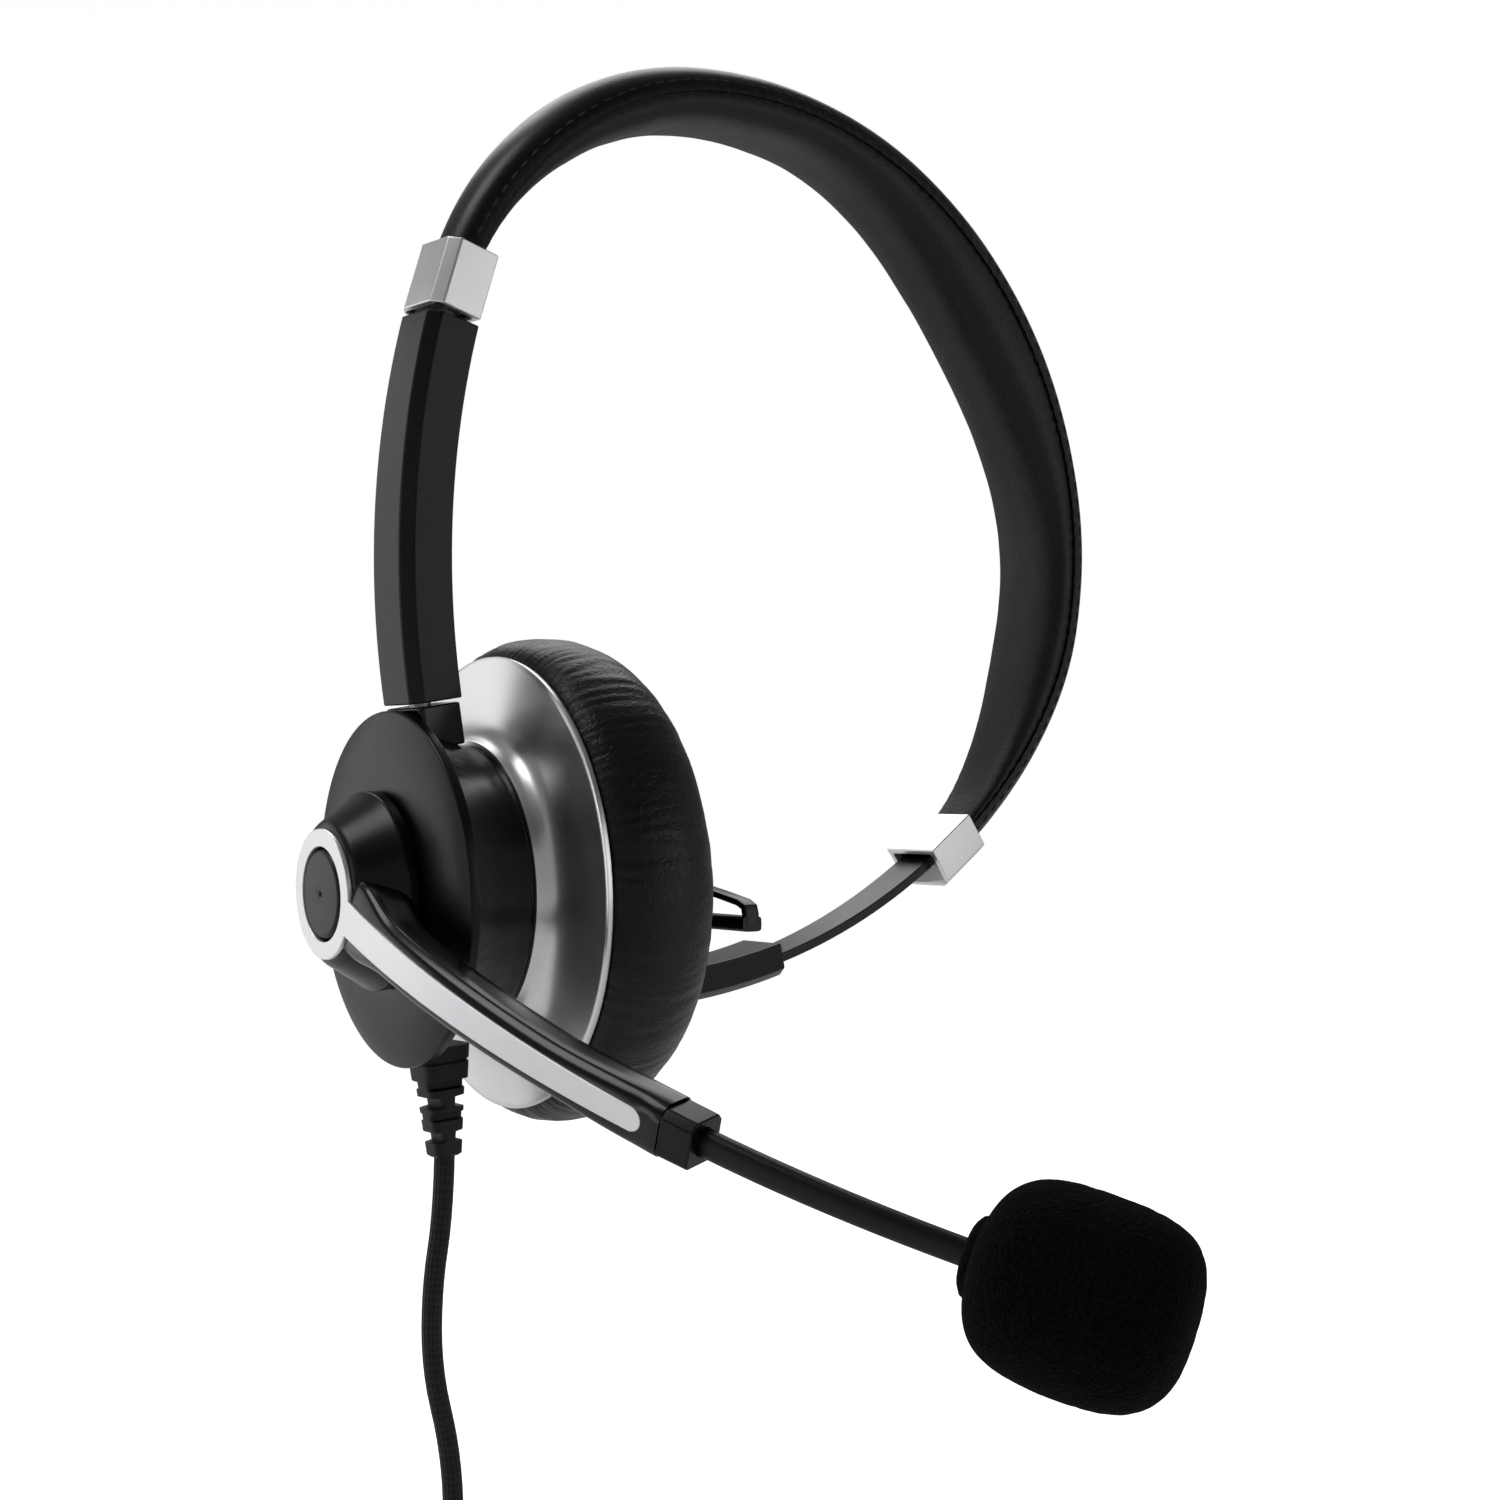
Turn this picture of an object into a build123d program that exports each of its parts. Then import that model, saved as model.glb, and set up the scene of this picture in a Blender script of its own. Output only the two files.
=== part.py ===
"""One-ear office headset with a padded sprung band, a boom microphone and a corded jack.

Millimetres. Z is up, -Y is the way the wearer faces, the ear cup is on -X. The band lies
in the XZ plane. The origin is on the ear cushion's face, where it meets the head.
"""

import os
from math import asin, atan2, ceil, cos, degrees, pi, radians, sin, tan

from build123d import *

# ---- headband ----
BAND_START = (-26.0, 80.0)  # middle of the ear-side collar, X and Z
BAND_LEAN = 17.7  # heading there, degrees from +Z towards +X
BAND_ARCS = ((46.4, 64.6), (64.8, 85.6), (57.9, 65.7))  # radius, degrees, from the ear side
SPINE_WIDTH = 8.0
SPINE_THICK = 0.8
SPINE_STOP = 26.0  # the spring ends short of the temple collar, above the blade's channel
COVER_THICK_END = 2.1
COVER_THICK_BODY = 3.1
PAD_THICK_END = 2.1
PAD_THICK_BODY = 5.0
PAD_BULGE = 4.6  # extra at the fullest place
PAD_BULGE_AT = 121.0
PAD_BULGE_HALF = 46.0
BAND_WIDTH_END = 8.6
BAND_WIDTH_MID = 15.0
BAND_TAPER = 42.0  # length over which the band widens
FLEX_EAR_AT = 50.0  # where the ear side bends open
FLEX_TEMPLE_AT = 163.0
FLEX_GAP = 0.5
FLEX_OUTSIDE = 3.9  # bend line, out from the spine
STATION_STEP = 13.0

# ---- silver collars ----
COLLAR_LONG = 9.4
COLLAR_HIGH = 7.0
COLLAR_HEAD_FLAT = 10.9
COLLAR_SHOULDER = 10.5
COLLAR_CHAMFER = 1.2
COLLAR_CROWN_FLAT = 6.9
COLLAR_BORE = (8.8, 5.2)
BAND_IN_COLLAR = 2.4

# ---- ear-side sliding arm ----
ARM_RADIUS = 121.0
ARM_HIGH = 7.0
ARM_TOP_GAP = 0.9
ARM_BOTTOM_Z = 23.8
BLADE_WIDTH = 6.6
BLADE_THICK = 1.4
BLADE_IN_ARM = 38.0
BLADE_CLEAR = 0.35
SWIVEL_PIN_R = 1.5
RUNNING_FIT = 0.05

# ---- ear cup, measured outwards along its axis from its own centre ----
CUP_CENTRE = (-8.0, -1.3, 0.0)
CUP_AXIS = (-0.99656, 0.07391, -0.03748)
CUSHION_R = 33.4
CUSHION_HOLE_R = 14.4
CUSHION_FACE = -8.0
CUSHION_TOP = 9.6
DISH_RIM_R = 30.5
DISH_RIM = 10.7
DISH_LIP_R = 19.3
DISH_LIP = 14.7
HOUSING_BACK_R = 18.6
HOUSING_BACK = 14.2
HOUSING_FRONT_R = 22.2
HOUSING_FRONT = 24.5
HOUSING_WALL = 1.4
COVER_R = 23.6
COVER_RIM = 26.2
COVER_CROWN = 27.6
HUB_BASE_R = 13.1
HUB_BASE = 28.2
HUB_TOP_R = 8.7
HUB_TOP = 35.3
AXLE_R = 4.0
CAP_R = 5.85
CAP_TOP = 36.2
TRIM_RING_R = 8.5
TRIM_HOLE_R = 6.2

# ---- boom ----
BOOM_DROP = 20.2  # degrees below straight forward
BOOM_STRAIGHT = 10.0
BOOM_RADIUS = 165.0  # past the hub the boom curves in towards the mouth on this arc
BOOM_LEVEL = 33.2  # its middle line leaves the hub at this height
ARM_END = 69.8
ARM_CAP_END = 74.2
ARM_ROOT_WIDE = 7.6
ARM_TIP_WIDE = 5.2
ARM_DEEP = 5.4
TRIM_THICK = 0.7
TRIM_PROUD = 0.12
TRIM_ROOT_WIDE = 5.0
TRIM_TIP_WIDE = 2.9
TRIM_TIP_AT = 65.6
FLEX_WIDE = 3.3
FLEX_DEEP = 2.6
LINK_GAP = 0.8
LINK_LENGTH = 10.0
MIC_START = 107.0
WINDSCREEN_LONG = 24.4
WINDSCREEN_R = 10.8
CAPSULE_R = 3.0

# ---- temple rest on the far side ----
TEMPLE_RADIUS = 100.0
TEMPLE_INSET = 1.0
TEMPLE_BLADE_IN = 10.0
TEMPLE_TRAVEL = 10.0
TEMPLE_BARE = 32.5
SLEEVE_LONG = 16.0
SLEEVE_WIDE = 9.0
SLEEVE_HIGH = 5.0
YOKE_X = (9.6, 13.2)
YOKE_HALF = 18.6
YOKE_BOTTOM = -7.4
YOKE_BAR = 2.6
YOKE_TIP_HIGH = 3.1
YOKE_MIDDLE_HIGH = 6.8
YOKE_STRUT = 1.1
PIVOT_X = 11.9
PIVOT_Z = -6.1
PIVOT_R = 0.9
REST_PLATE_X = (8.4, 9.6)
REST_PAD_X = (5.2, 8.4)
REST_PAD_WIDE = 20.0
REST_PAD_Z = (-7.2, 9.0)

# ---- cord ----
CORD_D = 2.8
RELIEF_TOP = (-27.6, 0.0, -18.4)
RELIEF_BOTTOM = (-26.3, 0.0, -36.6)
RELIEF_RINGS = 5
# The cord's route in X and Z from the strain relief down to the coil, at Y = 0.
CORD_ROUTE = (
    (-26.3, -36.6),
    (-26.5, -44.5),
    (-28.2, -54.0),
    (-28.2, -65.0),
    (-25.4, -75.5),
    (-25.0, -86.0),
    (-26.9, -96.0),
    (-27.4, -104.0),
)
COIL_CENTRE = (-11.8, 0.0, -109.0)
COIL_R = 15.4
COIL_HIGH = 9.0
COIL_DEEP = 11.4
TAIL_ROUTE = (
    (-27.2, -111.0),
    (-26.6, -121.0),
    (-24.5, -131.0),
    (-24.5, -141.0),
)
PLUG_BODY_R = 4.1
PLUG_BODY_LONG = 20.0
PLUG_RELIEF_LONG = 9.0
JACK_R = 1.75
JACK_LONG = 14.0

Y_AXIS = Vector(0, 1, 0)
nodes = {}


def band_point(length):
    """Point, heading and head-side normal on the band's spine at a length from the ear side."""
    x, z = BAND_START
    heading = radians(BAND_LEAN)
    left = length
    for index, (radius, turn) in enumerate(BAND_ARCS):
        arc = radius * radians(turn)
        last = index == len(BAND_ARCS) - 1
        angle = (left if last else min(left, arc)) / radius
        cx = x + radius * cos(heading)
        cz = z - radius * sin(heading)
        heading += angle
        x = cx - radius * cos(heading)
        z = cz + radius * sin(heading)
        left -= arc
        if left <= 0:
            break
    point = Vector(x, 0, z)
    tangent = Vector(sin(heading), 0, cos(heading))
    inward = Vector(cos(heading), 0, -sin(heading))
    return point, tangent, inward


BAND_LENGTH = sum(radius * radians(turn) for radius, turn in BAND_ARCS)


def band_plane(length, inward_by=0.0):
    """Section plane: local x along Y, local y outwards from the head, z along the band."""
    point, tangent, inward = band_point(length)
    return Plane(origin=point + inward * inward_by, x_dir=Y_AXIS, z_dir=tangent)


def ease(value):
    """Smooth step from 0 to 1."""
    value = min(1.0, max(0.0, value))
    return value * value * (3 - 2 * value)


def band_width(length):
    end = min(length, BAND_LENGTH - length)
    return BAND_WIDTH_END + (BAND_WIDTH_MID - BAND_WIDTH_END) * ease(end / BAND_TAPER)


def cover_thick(length):
    end = min(length, BAND_LENGTH - length)
    return COVER_THICK_END + (COVER_THICK_BODY - COVER_THICK_END) * ease(end / BAND_TAPER)


def pad_thick(length):
    end = min(length, BAND_LENGTH - length)
    body = PAD_THICK_END + (PAD_THICK_BODY - PAD_THICK_END) * ease(end / BAND_TAPER)
    away = abs(length - PAD_BULGE_AT) / PAD_BULGE_HALF
    return body + PAD_BULGE * ease(1 - away)


def band_loft(start, end, low, high, width, corner):
    """Loft a rounded strip along the band; low, high, width and corner depend on the length."""
    steps = max(2, ceil((end - start) / STATION_STEP))
    faces = []
    for index in range(steps + 1):
        length = start + (end - start) * index / steps
        bottom = low(length)
        top = high(length)
        middle = (bottom + top) / 2
        face = RectangleRounded(width(length), top - bottom, corner)
        faces.append(band_plane(length) * Pos(0, middle) * face)
    return loft(faces)


def ring_arc(centre, face, turn):
    """Turn a section about a Y axis through centre; positive runs clockwise seen from -Y."""
    return revolve(face, Axis((centre.X, 0, centre.Z), (0, 1, 0)), turn)


def section_at(centre, radius, angle, shape):
    """Put a section on an arc about centre. angle is from +Z clockwise; local y is outward."""
    a = radians(angle)
    point = Vector(centre.X + radius * sin(a), 0, centre.Z + radius * cos(a))
    tangent = Vector(cos(a), 0, -sin(a))
    return Plane(origin=point, x_dir=Y_AXIS, z_dir=tangent) * shape


def faceted(high, head_flat, shoulder, chamfer, crown_flat):
    """Collar and arm section: wide flat to the head, chamfered flat outside."""
    half = high / 2
    return make_face(
        Polyline(
            (-head_flat / 2, -half),
            (head_flat / 2, -half),
            (shoulder / 2, half - chamfer),
            (crown_flat / 2, half),
            (-crown_flat / 2, half),
            (-shoulder / 2, half - chamfer),
            close=True,
        )
    )


def lathe(points):
    """Revolve a closed outline of (radius, height) about local Z."""
    outline = Polyline(*[(r, 0, h) for r, h in points], close=True)
    return revolve(make_face(outline), Axis.Z)


def tube_path(points):
    """Straight runs joined by tangent arcs as large as the runs allow, and their radii."""
    radii = []
    for before, corner, after in zip(points, points[1:], points[2:]):
        first = corner - before
        second = after - corner
        turn = radians(first.get_angle(second))
        radii.append(0.45 * min(first.length, second.length) / tan(turn / 2))
    return FilletPolyline(*points, radius=radii), radii


# ---- headband: three stretches that hinge open where the real spring bends ----
BAND_FROM = COLLAR_LONG / 2 - BAND_IN_COLLAR
BAND_TO = BAND_LENGTH - BAND_FROM
STRETCHES = {
    "ear": (BAND_FROM, FLEX_EAR_AT - FLEX_GAP / 2),
    "mid": (FLEX_EAR_AT + FLEX_GAP / 2, FLEX_TEMPLE_AT - FLEX_GAP / 2),
    "temple": (FLEX_TEMPLE_AT + FLEX_GAP / 2, BAND_TO),
}
half_spine = SPINE_THICK / 2
for name, (start, end) in STRETCHES.items():
    spine_end = min(end, BAND_TO - SPINE_STOP)
    nodes[f"band_spine_{name}"] = band_loft(
        start,
        spine_end,
        lambda s: 0.05 - half_spine,
        lambda s: half_spine - 0.05,
        lambda s: SPINE_WIDTH,
        0.25,
    )
    nodes[f"band_cover_{name}"] = band_loft(
        start,
        end,
        lambda s: half_spine,
        lambda s: half_spine + cover_thick(s),
        band_width,
        0.95,
    )
    nodes[f"band_pad_{name}"] = band_loft(
        start,
        end,
        lambda s: -half_spine - pad_thick(s),
        lambda s: -half_spine,
        band_width,
        0.95,
    )

# ---- collars, with a dark insert that guides each blade ----
collar_face = faceted(
    COLLAR_HIGH, COLLAR_HEAD_FLAT, COLLAR_SHOULDER, COLLAR_CHAMFER, COLLAR_CROWN_FLAT
)
collar_bore = Rectangle(*COLLAR_BORE)
INSERT_LONG = COLLAR_LONG - BAND_IN_COLLAR - 0.6


def collar(length, mouth):
    """Collar shell and insert; mouth is +1 when the open end is along the band's heading."""
    middle = band_plane(length)
    shell = extrude(middle * collar_face, COLLAR_LONG / 2, both=True)
    shell -= extrude(middle * collar_bore, COLLAR_LONG / 2, both=True)
    inner_end = middle.offset(-mouth * (COLLAR_LONG / 2 - BAND_IN_COLLAR))
    insert = extrude(inner_end * collar_bore, mouth * INSERT_LONG)
    return shell, insert


nodes["collar_ear"], insert_ear = collar(0, -1)
nodes["collar_temple"], insert_temple = collar(BAND_LENGTH, 1)

# ---- ear side: a blade fixed in the collar, and the arm that slides on it ----
start_point, start_tangent, start_inward = band_point(0)
arm_centre = start_point + start_inward * ARM_RADIUS
collar_angle = degrees(atan2(start_point.X - arm_centre.X, start_point.Z - arm_centre.Z))
per_mm = degrees(1 / ARM_RADIUS)
blade_face = Rectangle(BLADE_WIDTH, BLADE_THICK)
blade_start = collar_angle + BAND_FROM * per_mm
blade_turn = (BAND_FROM + COLLAR_LONG / 2 + ARM_TOP_GAP + BLADE_IN_ARM) * per_mm
nodes["blade_ear"] = ring_arc(
    arm_centre, section_at(arm_centre, ARM_RADIUS, blade_start, blade_face), -blade_turn
)
nodes["collar_insert_ear"] = insert_ear - nodes["blade_ear"]

arm_top = collar_angle - (COLLAR_LONG / 2 + ARM_TOP_GAP) * per_mm
arm_bottom = -90 + degrees(asin((ARM_BOTTOM_Z - arm_centre.Z) / ARM_RADIUS))
arm_face = faceted(ARM_HIGH, 10.6, 10.2, 1.3, 6.9)
arm = ring_arc(
    arm_centre, section_at(arm_centre, ARM_RADIUS, arm_top, arm_face), arm_bottom - arm_top
)
slot_face = Rectangle(BLADE_WIDTH + 2 * BLADE_CLEAR, BLADE_THICK + 2 * BLADE_CLEAR)
slot_turn = (BLADE_IN_ARM + 1.5) * per_mm
arm -= ring_arc(
    arm_centre, section_at(arm_centre, ARM_RADIUS, arm_top + 1, slot_face), -slot_turn - 1
)
down = Vector(
    -cos(radians(arm_bottom)),
    0,
    sin(radians(arm_bottom)),
)
swivel_top = Vector(
    arm_centre.X + ARM_RADIUS * sin(radians(arm_bottom)),
    0,
    arm_centre.Z + ARM_RADIUS * cos(radians(arm_bottom)),
)
swivel_up = Plane(origin=swivel_top, x_dir=Y_AXIS, z_dir=down * -1)
PIN_IN_ARM = 6.0
PIN_IN_NECK = 4.4
arm -= swivel_up * Cylinder(SWIVEL_PIN_R + RUNNING_FIT, 2 * (PIN_IN_ARM + 0.5))
nodes["slider_arm"] = arm

# ---- ear cup, built along its own axis ----
cup = Plane(origin=CUP_CENTRE, x_dir=(0, -1, 0), z_dir=CUP_AXIS)

dish = lathe(
    [
        (6.0, HOUSING_BACK),
        (HOUSING_BACK_R + 0.12, HOUSING_BACK),
        (HOUSING_BACK_R + 0.12, DISH_LIP),
        (DISH_LIP_R, DISH_LIP),
        (DISH_LIP_R + 0.4, 13.2),
        (DISH_LIP_R + 1.6, 11.9),
        (DISH_LIP_R + 4.2, 11.1),
        (DISH_LIP_R + 8.0, 10.9),
        (DISH_RIM_R, DISH_RIM),
        (DISH_RIM_R, DISH_RIM - 0.9),
        (DISH_LIP_R + 4.0, 9.8),
        (DISH_LIP_R + 0.6, 10.6),
        (DISH_LIP_R - 0.8, 12.9),
        (6.0, 12.9),
    ]
)
SCREW_RING_R = 12.5
SCREW_R = 1.0
screw_spots = PolarLocations(SCREW_RING_R, 3)
dish -= [spot * Pos(0, 0, 12) * Cylinder(SCREW_R, 6) for spot in screw_spots]
nodes["dish"] = cup.location * dish

housing = lathe(
    [
        (0, HOUSING_BACK),
        (HOUSING_BACK_R, HOUSING_BACK),
        (19.0, 17.2),
        (20.3, 21.2),
        (HOUSING_FRONT_R, HOUSING_FRONT),
        (HOUSING_FRONT_R - HOUSING_WALL, HOUSING_FRONT),
        (20.3 - HOUSING_WALL, 21.2),
        (19.0 - HOUSING_WALL, 17.2),
        (19.0 - HOUSING_WALL, HOUSING_BACK + HOUSING_WALL),
        (0, HOUSING_BACK + HOUSING_WALL),
    ]
)
housing -= [spot * Pos(0, 0, HOUSING_BACK) * Cylinder(SCREW_R, 5) for spot in screw_spots]
housing = cup.location * housing
NECK_DEEP = 6.4
NECK_WIDE = 9.4
NECK_HIGH = 5.6
neck_plane = swivel_up.offset(-0.5)
neck = extrude(neck_plane * Pos(0, -0.4) * Rectangle(NECK_WIDE, NECK_DEEP), -NECK_HIGH)
neck = fillet(neck.edges().filter_by(lambda e: abs(e.tangent_at(0).dot(down)) > 0.99), 0.8)
inside = cup.location * Pos(0, 0, 20) * Cylinder(18.8, 16)
above_cover = cup.location * Pos(0, 0, HOUSING_FRONT + 5) * Cylinder(40, 10)
neck = neck - inside - above_cover
pin_hole = neck_plane * Pos(0, 0, -PIN_IN_NECK / 2 + 0.5) * Cylinder(SWIVEL_PIN_R, PIN_IN_NECK + 1)
housing = housing + neck - pin_hole
relief_axis = Vector(*RELIEF_BOTTOM) - Vector(*RELIEF_TOP)
relief_plane = Plane(origin=RELIEF_TOP, x_dir=Y_AXIS, z_dir=relief_axis)
RELIEF_LONG = relief_axis.length
housing -= relief_plane * Pos(0, 0, -2) * Cylinder(2.2, 12)
nodes["housing"] = housing
pin_long = PIN_IN_ARM + PIN_IN_NECK
nodes["swivel_pin"] = swivel_up * Pos(0, 0, PIN_IN_ARM - pin_long / 2) * Cylinder(
    SWIVEL_PIN_R, pin_long
)

nodes["disc_cover"] = cup.location * lathe(
    [
        (AXLE_R, HOUSING_FRONT + 1.4),
        (AXLE_R, COVER_CROWN),
        (13.0, COVER_CROWN),
        (17.5, COVER_CROWN - 0.25),
        (20.5, COVER_CROWN - 0.75),
        (22.0, COVER_RIM),
        (COVER_R, COVER_RIM - 0.9),
        (COVER_R, HOUSING_FRONT + 0.3),
        (HOUSING_FRONT_R, HOUSING_FRONT),
        (20.0, HOUSING_FRONT),
        (20.0, HOUSING_FRONT + 1.4),
    ]
)
nodes["circuit_board"] = cup.location * Pos(0, 0, 18.4) * (Cylinder(15.5, 1.0) - Cylinder(5.2, 1.0))
nodes["terminal_block"] = cup.location * Pos(0, -11.0, 19.9) * Box(7.0, 3.6, 2.0)
nodes["housing_screws"] = cup.location * Compound(
    [
        spot * (Pos(0, 0, 14.4) * Cylinder(SCREW_R, 3.0) + Pos(0, 0, 12.4) * Cylinder(1.9, 1.0))
        for spot in screw_spots
    ]
)
nodes["speaker_plate"] = cup.location * lathe(
    [(9.3, 8.4), (9.3, 9.6), (28.6, 9.6), (28.6, 8.4)]
)
nodes["speaker_basket"] = cup.location * lathe(
    [
        (12.9, 7.5),
        (12.9, 8.4),
        (9.2, 8.4),
        (9.2, 12.0),
        (8.3, 12.0),
        (8.3, 8.2),
        (11.6, 7.5),
    ]
)
nodes["speaker_magnet"] = cup.location * Pos(0, 0, 10.6) * Cylinder(8.2, 2.8)
nodes["speaker_cone"] = cup.location * lathe(
    [(0, 6.9), (6.0, 6.5), (11.0, 7.0), (12.9, 7.1), (12.9, 7.5), (11.0, 7.4), (6.0, 6.9), (0, 7.3)]
)
nodes["speaker_scrim"] = cup.location * Pos(0, 0, 5.6) * Cylinder(CUSHION_HOLE_R - 0.5, 1.2)

cushion_section = make_face(
    Spline(
        (CUSHION_HOLE_R, 0, 6.0),
        (CUSHION_HOLE_R + 0.6, 0, -3.5),
        (19.5, 0, -7.6),
        (24.0, 0, CUSHION_FACE),
        (29.5, 0, -6.0),
        (CUSHION_R - 0.3, 0, -1.0),
        (CUSHION_R, 0, 3.0),
        (32.6, 0, 7.2),
        (30.3, 0, CUSHION_TOP),
        periodic=False,
    )
    + Polyline(
        (30.3, 0, CUSHION_TOP),
        (28.8, 0, CUSHION_TOP),
        (28.8, 0, 8.3),
        (CUSHION_HOLE_R, 0, 8.3),
        (CUSHION_HOLE_R, 0, 6.0),
    )
)
nodes["ear_cushion"] = cup.location * revolve(cushion_section, Axis.Z)

# ---- boom pivot: axle and cap stay with the cup, hub and trim turn on them ----
nodes["boom_axle"] = cup.location * (
    Pos(0, 0, (21.0 + 34.6) / 2) * Cylinder(AXLE_R, 34.6 - 21.0)
    + Pos(0, 0, 20.4) * Cylinder(5.0, 1.2)
)
nodes["axle_bushing"] = cup.location * lathe(
    [(AXLE_R, 21.6), (AXLE_R, 25.8), (6.4, 25.8), (6.4, 24.4), (5.2, 24.4), (5.2, 21.6)]
)
nodes["hub_cap"] = cup.location * (
    lathe([(0.35, 34.6), (0.35, 36.05), (1.2, CAP_TOP), (CAP_R - 0.5, CAP_TOP),
           (CAP_R, CAP_TOP - 0.4), (CAP_R, 34.6)])
)
nodes["retaining_ring"] = cup.location * lathe(
    [(AXLE_R, 33.6), (AXLE_R, 34.3), (5.6, 34.3), (5.6, 33.6)]
)

boom = cup.location * Location((0, 0, 0), (0, 0, -BOOM_DROP))
BOOM_CENTRE_Z = BOOM_LEVEL - BOOM_RADIUS


def boom_section(length):
    """Section plane on the boom: local x is up, local y outwards, z runs to the mouth."""
    angle = max(0.0, length - BOOM_STRAIGHT) / BOOM_RADIUS
    x = min(length, BOOM_STRAIGHT) + BOOM_RADIUS * sin(angle)
    z = BOOM_CENTRE_Z + BOOM_RADIUS * cos(angle)
    return Plane(origin=(x, 0, z), x_dir=(0, 1, 0), z_dir=(cos(angle), 0, -sin(angle)))


def boom_sweep(face, start, end):
    """Turn a section along the curved part of the boom from start to end."""
    centre = Axis((BOOM_STRAIGHT, 0, BOOM_CENTRE_Z), (0, 1, 0))
    return revolve(boom_section(start) * face, centre, degrees((end - start) / BOOM_RADIUS))


def arm_wide(length):
    return ARM_ROOT_WIDE + (ARM_TIP_WIDE - ARM_ROOT_WIDE) * length / ARM_CAP_END


def arm_section(length, grow=0.0):
    """Boom arm section, chamfered most on its upper outer edge."""
    half = arm_wide(length) / 2 + grow
    deep = ARM_DEEP / 2 + grow
    outline = Polyline(
        (-half + 0.4, deep),
        (half - 1.0, deep),
        (half, deep - 1.0),
        (half, -deep + 0.7),
        (half - 0.7, -deep),
        (-half + 0.7, -deep),
        (-half, -deep + 0.7),
        (-half, deep - 0.4),
        close=True,
    )
    return boom_section(length) * make_face(outline)


hub = lathe(
    [
        (AXLE_R + RUNNING_FIT, HUB_BASE),
        (HUB_BASE_R, HUB_BASE),
        (HUB_BASE_R, HUB_BASE + 1.3),
        (HUB_BASE_R - 1.3, HUB_BASE + 2.6),
        (HUB_TOP_R + 0.9, HUB_TOP - 0.9),
        (HUB_TOP_R, HUB_TOP),
        (TRIM_HOLE_R, HUB_TOP),
        (TRIM_HOLE_R, 33.2),
        (AXLE_R + RUNNING_FIT, 33.2),
    ]
)
trim_outline = (
    make_face(
        Polyline(
            (0, -TRIM_ROOT_WIDE / 2),
            (TRIM_TIP_AT, -TRIM_TIP_WIDE / 2),
            (TRIM_TIP_AT, TRIM_TIP_WIDE / 2),
            (0, TRIM_ROOT_WIDE / 2),
            close=True,
        )
    )
    + Circle(TRIM_RING_R)
    + Pos(TRIM_TIP_AT, 0) * Circle(TRIM_TIP_WIDE / 2)
    - Circle(TRIM_HOLE_R)
)
trim_level = (ARM_DEEP - TRIM_THICK) / 2 + TRIM_PROUD
trim_face = Pos(0, trim_level) * Rectangle(3 * TRIM_RING_R, TRIM_THICK)
trim_layer = extrude(boom_section(0) * trim_face, -TRIM_RING_R - 1)
trim_layer += extrude(boom_section(0) * trim_face, BOOM_STRAIGHT)
trim_layer += boom_sweep(trim_face, BOOM_STRAIGHT, ARM_END)
trim = trim_layer & extrude(trim_outline, 2 * ARM_END)
arm_lengths = [ARM_END * step / 5 for step in range(6)]
boom_arm = loft([arm_section(length) for length in arm_lengths])
hub_room = Pos(0, 0, HUB_BASE + 5) * Cylinder(HUB_TOP_R, 10)
boom_arm = boom_arm - hub_room - hub - trim
flex_face = SlotOverall(FLEX_WIDE, FLEX_DEEP)
arm_cap = loft([arm_section(ARM_END, 0.15), arm_section(ARM_CAP_END, 0.15)])
stub = boom_sweep(flex_face, ARM_END, ARM_CAP_END + 1.6)
nodes["boom_hub"] = boom * hub
nodes["boom_trim"] = boom * trim
nodes["boom_arm"] = boom * boom_arm
nodes["arm_end_cap"] = boom * (arm_cap - stub)
nodes["flex_root"] = boom * stub
nodes["hub_washer"] = cup.location * lathe(
    [
        (AXLE_R, COVER_CROWN),
        (AXLE_R, HUB_BASE - 0.3),
        (7.5, HUB_BASE - 0.3),
        (7.5, COVER_CROWN),
    ]
)

# ---- bendable stem in links, then the microphone ----
flex_joints = []
at = ARM_CAP_END + 1.6
for link in (1, 2):
    flex_joints.append(at + LINK_GAP / 2)
    nodes[f"flex_link_{link}"] = boom * boom_sweep(
        flex_face, at + LINK_GAP, at + LINK_GAP + LINK_LENGTH
    )
    at += LINK_GAP + LINK_LENGTH
flex_joints.append(at + LINK_GAP / 2)
mic_plane = boom_section(MIC_START)
nodes["mic_stem"] = boom * boom_sweep(flex_face, at + LINK_GAP, MIC_START)
CAPSULE_FROM = 4.6
CAPSULE_LONG = 5.0
HOLDER_LONG = 11.0
holder_solid = lathe([(0, 0), (2.3, 0), (2.3, 3.0), (3.7, 3.8), (3.7, HOLDER_LONG), (0, HOLDER_LONG)])
capsule_room = Pos(0, 0, CAPSULE_FROM + CAPSULE_LONG / 2) * Cylinder(CAPSULE_R, CAPSULE_LONG)
grille_room = Pos(0, 0, HOLDER_LONG - 0.7) * Cylinder(CAPSULE_R, 1.4)
nodes["mic_holder"] = boom * mic_plane.location * (holder_solid - capsule_room - grille_room)
nodes["mic_capsule"] = boom * mic_plane.location * capsule_room
nodes["mic_grille"] = boom * mic_plane.location * grille_room
foam = lathe(
    [
        (0, 0.4),
        (3.4, 0.4),
        (4.4, 1.6),
        (8.2, 2.4),
        (WINDSCREEN_R, 5.4),
        (WINDSCREEN_R, WINDSCREEN_LONG - 4.2),
        (WINDSCREEN_R - 1.4, WINDSCREEN_LONG - 1.2),
        (7.0, WINDSCREEN_LONG),
        (0, WINDSCREEN_LONG),
    ]
)
nodes["windscreen"] = boom * mic_plane.location * (foam - holder_solid)

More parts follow.
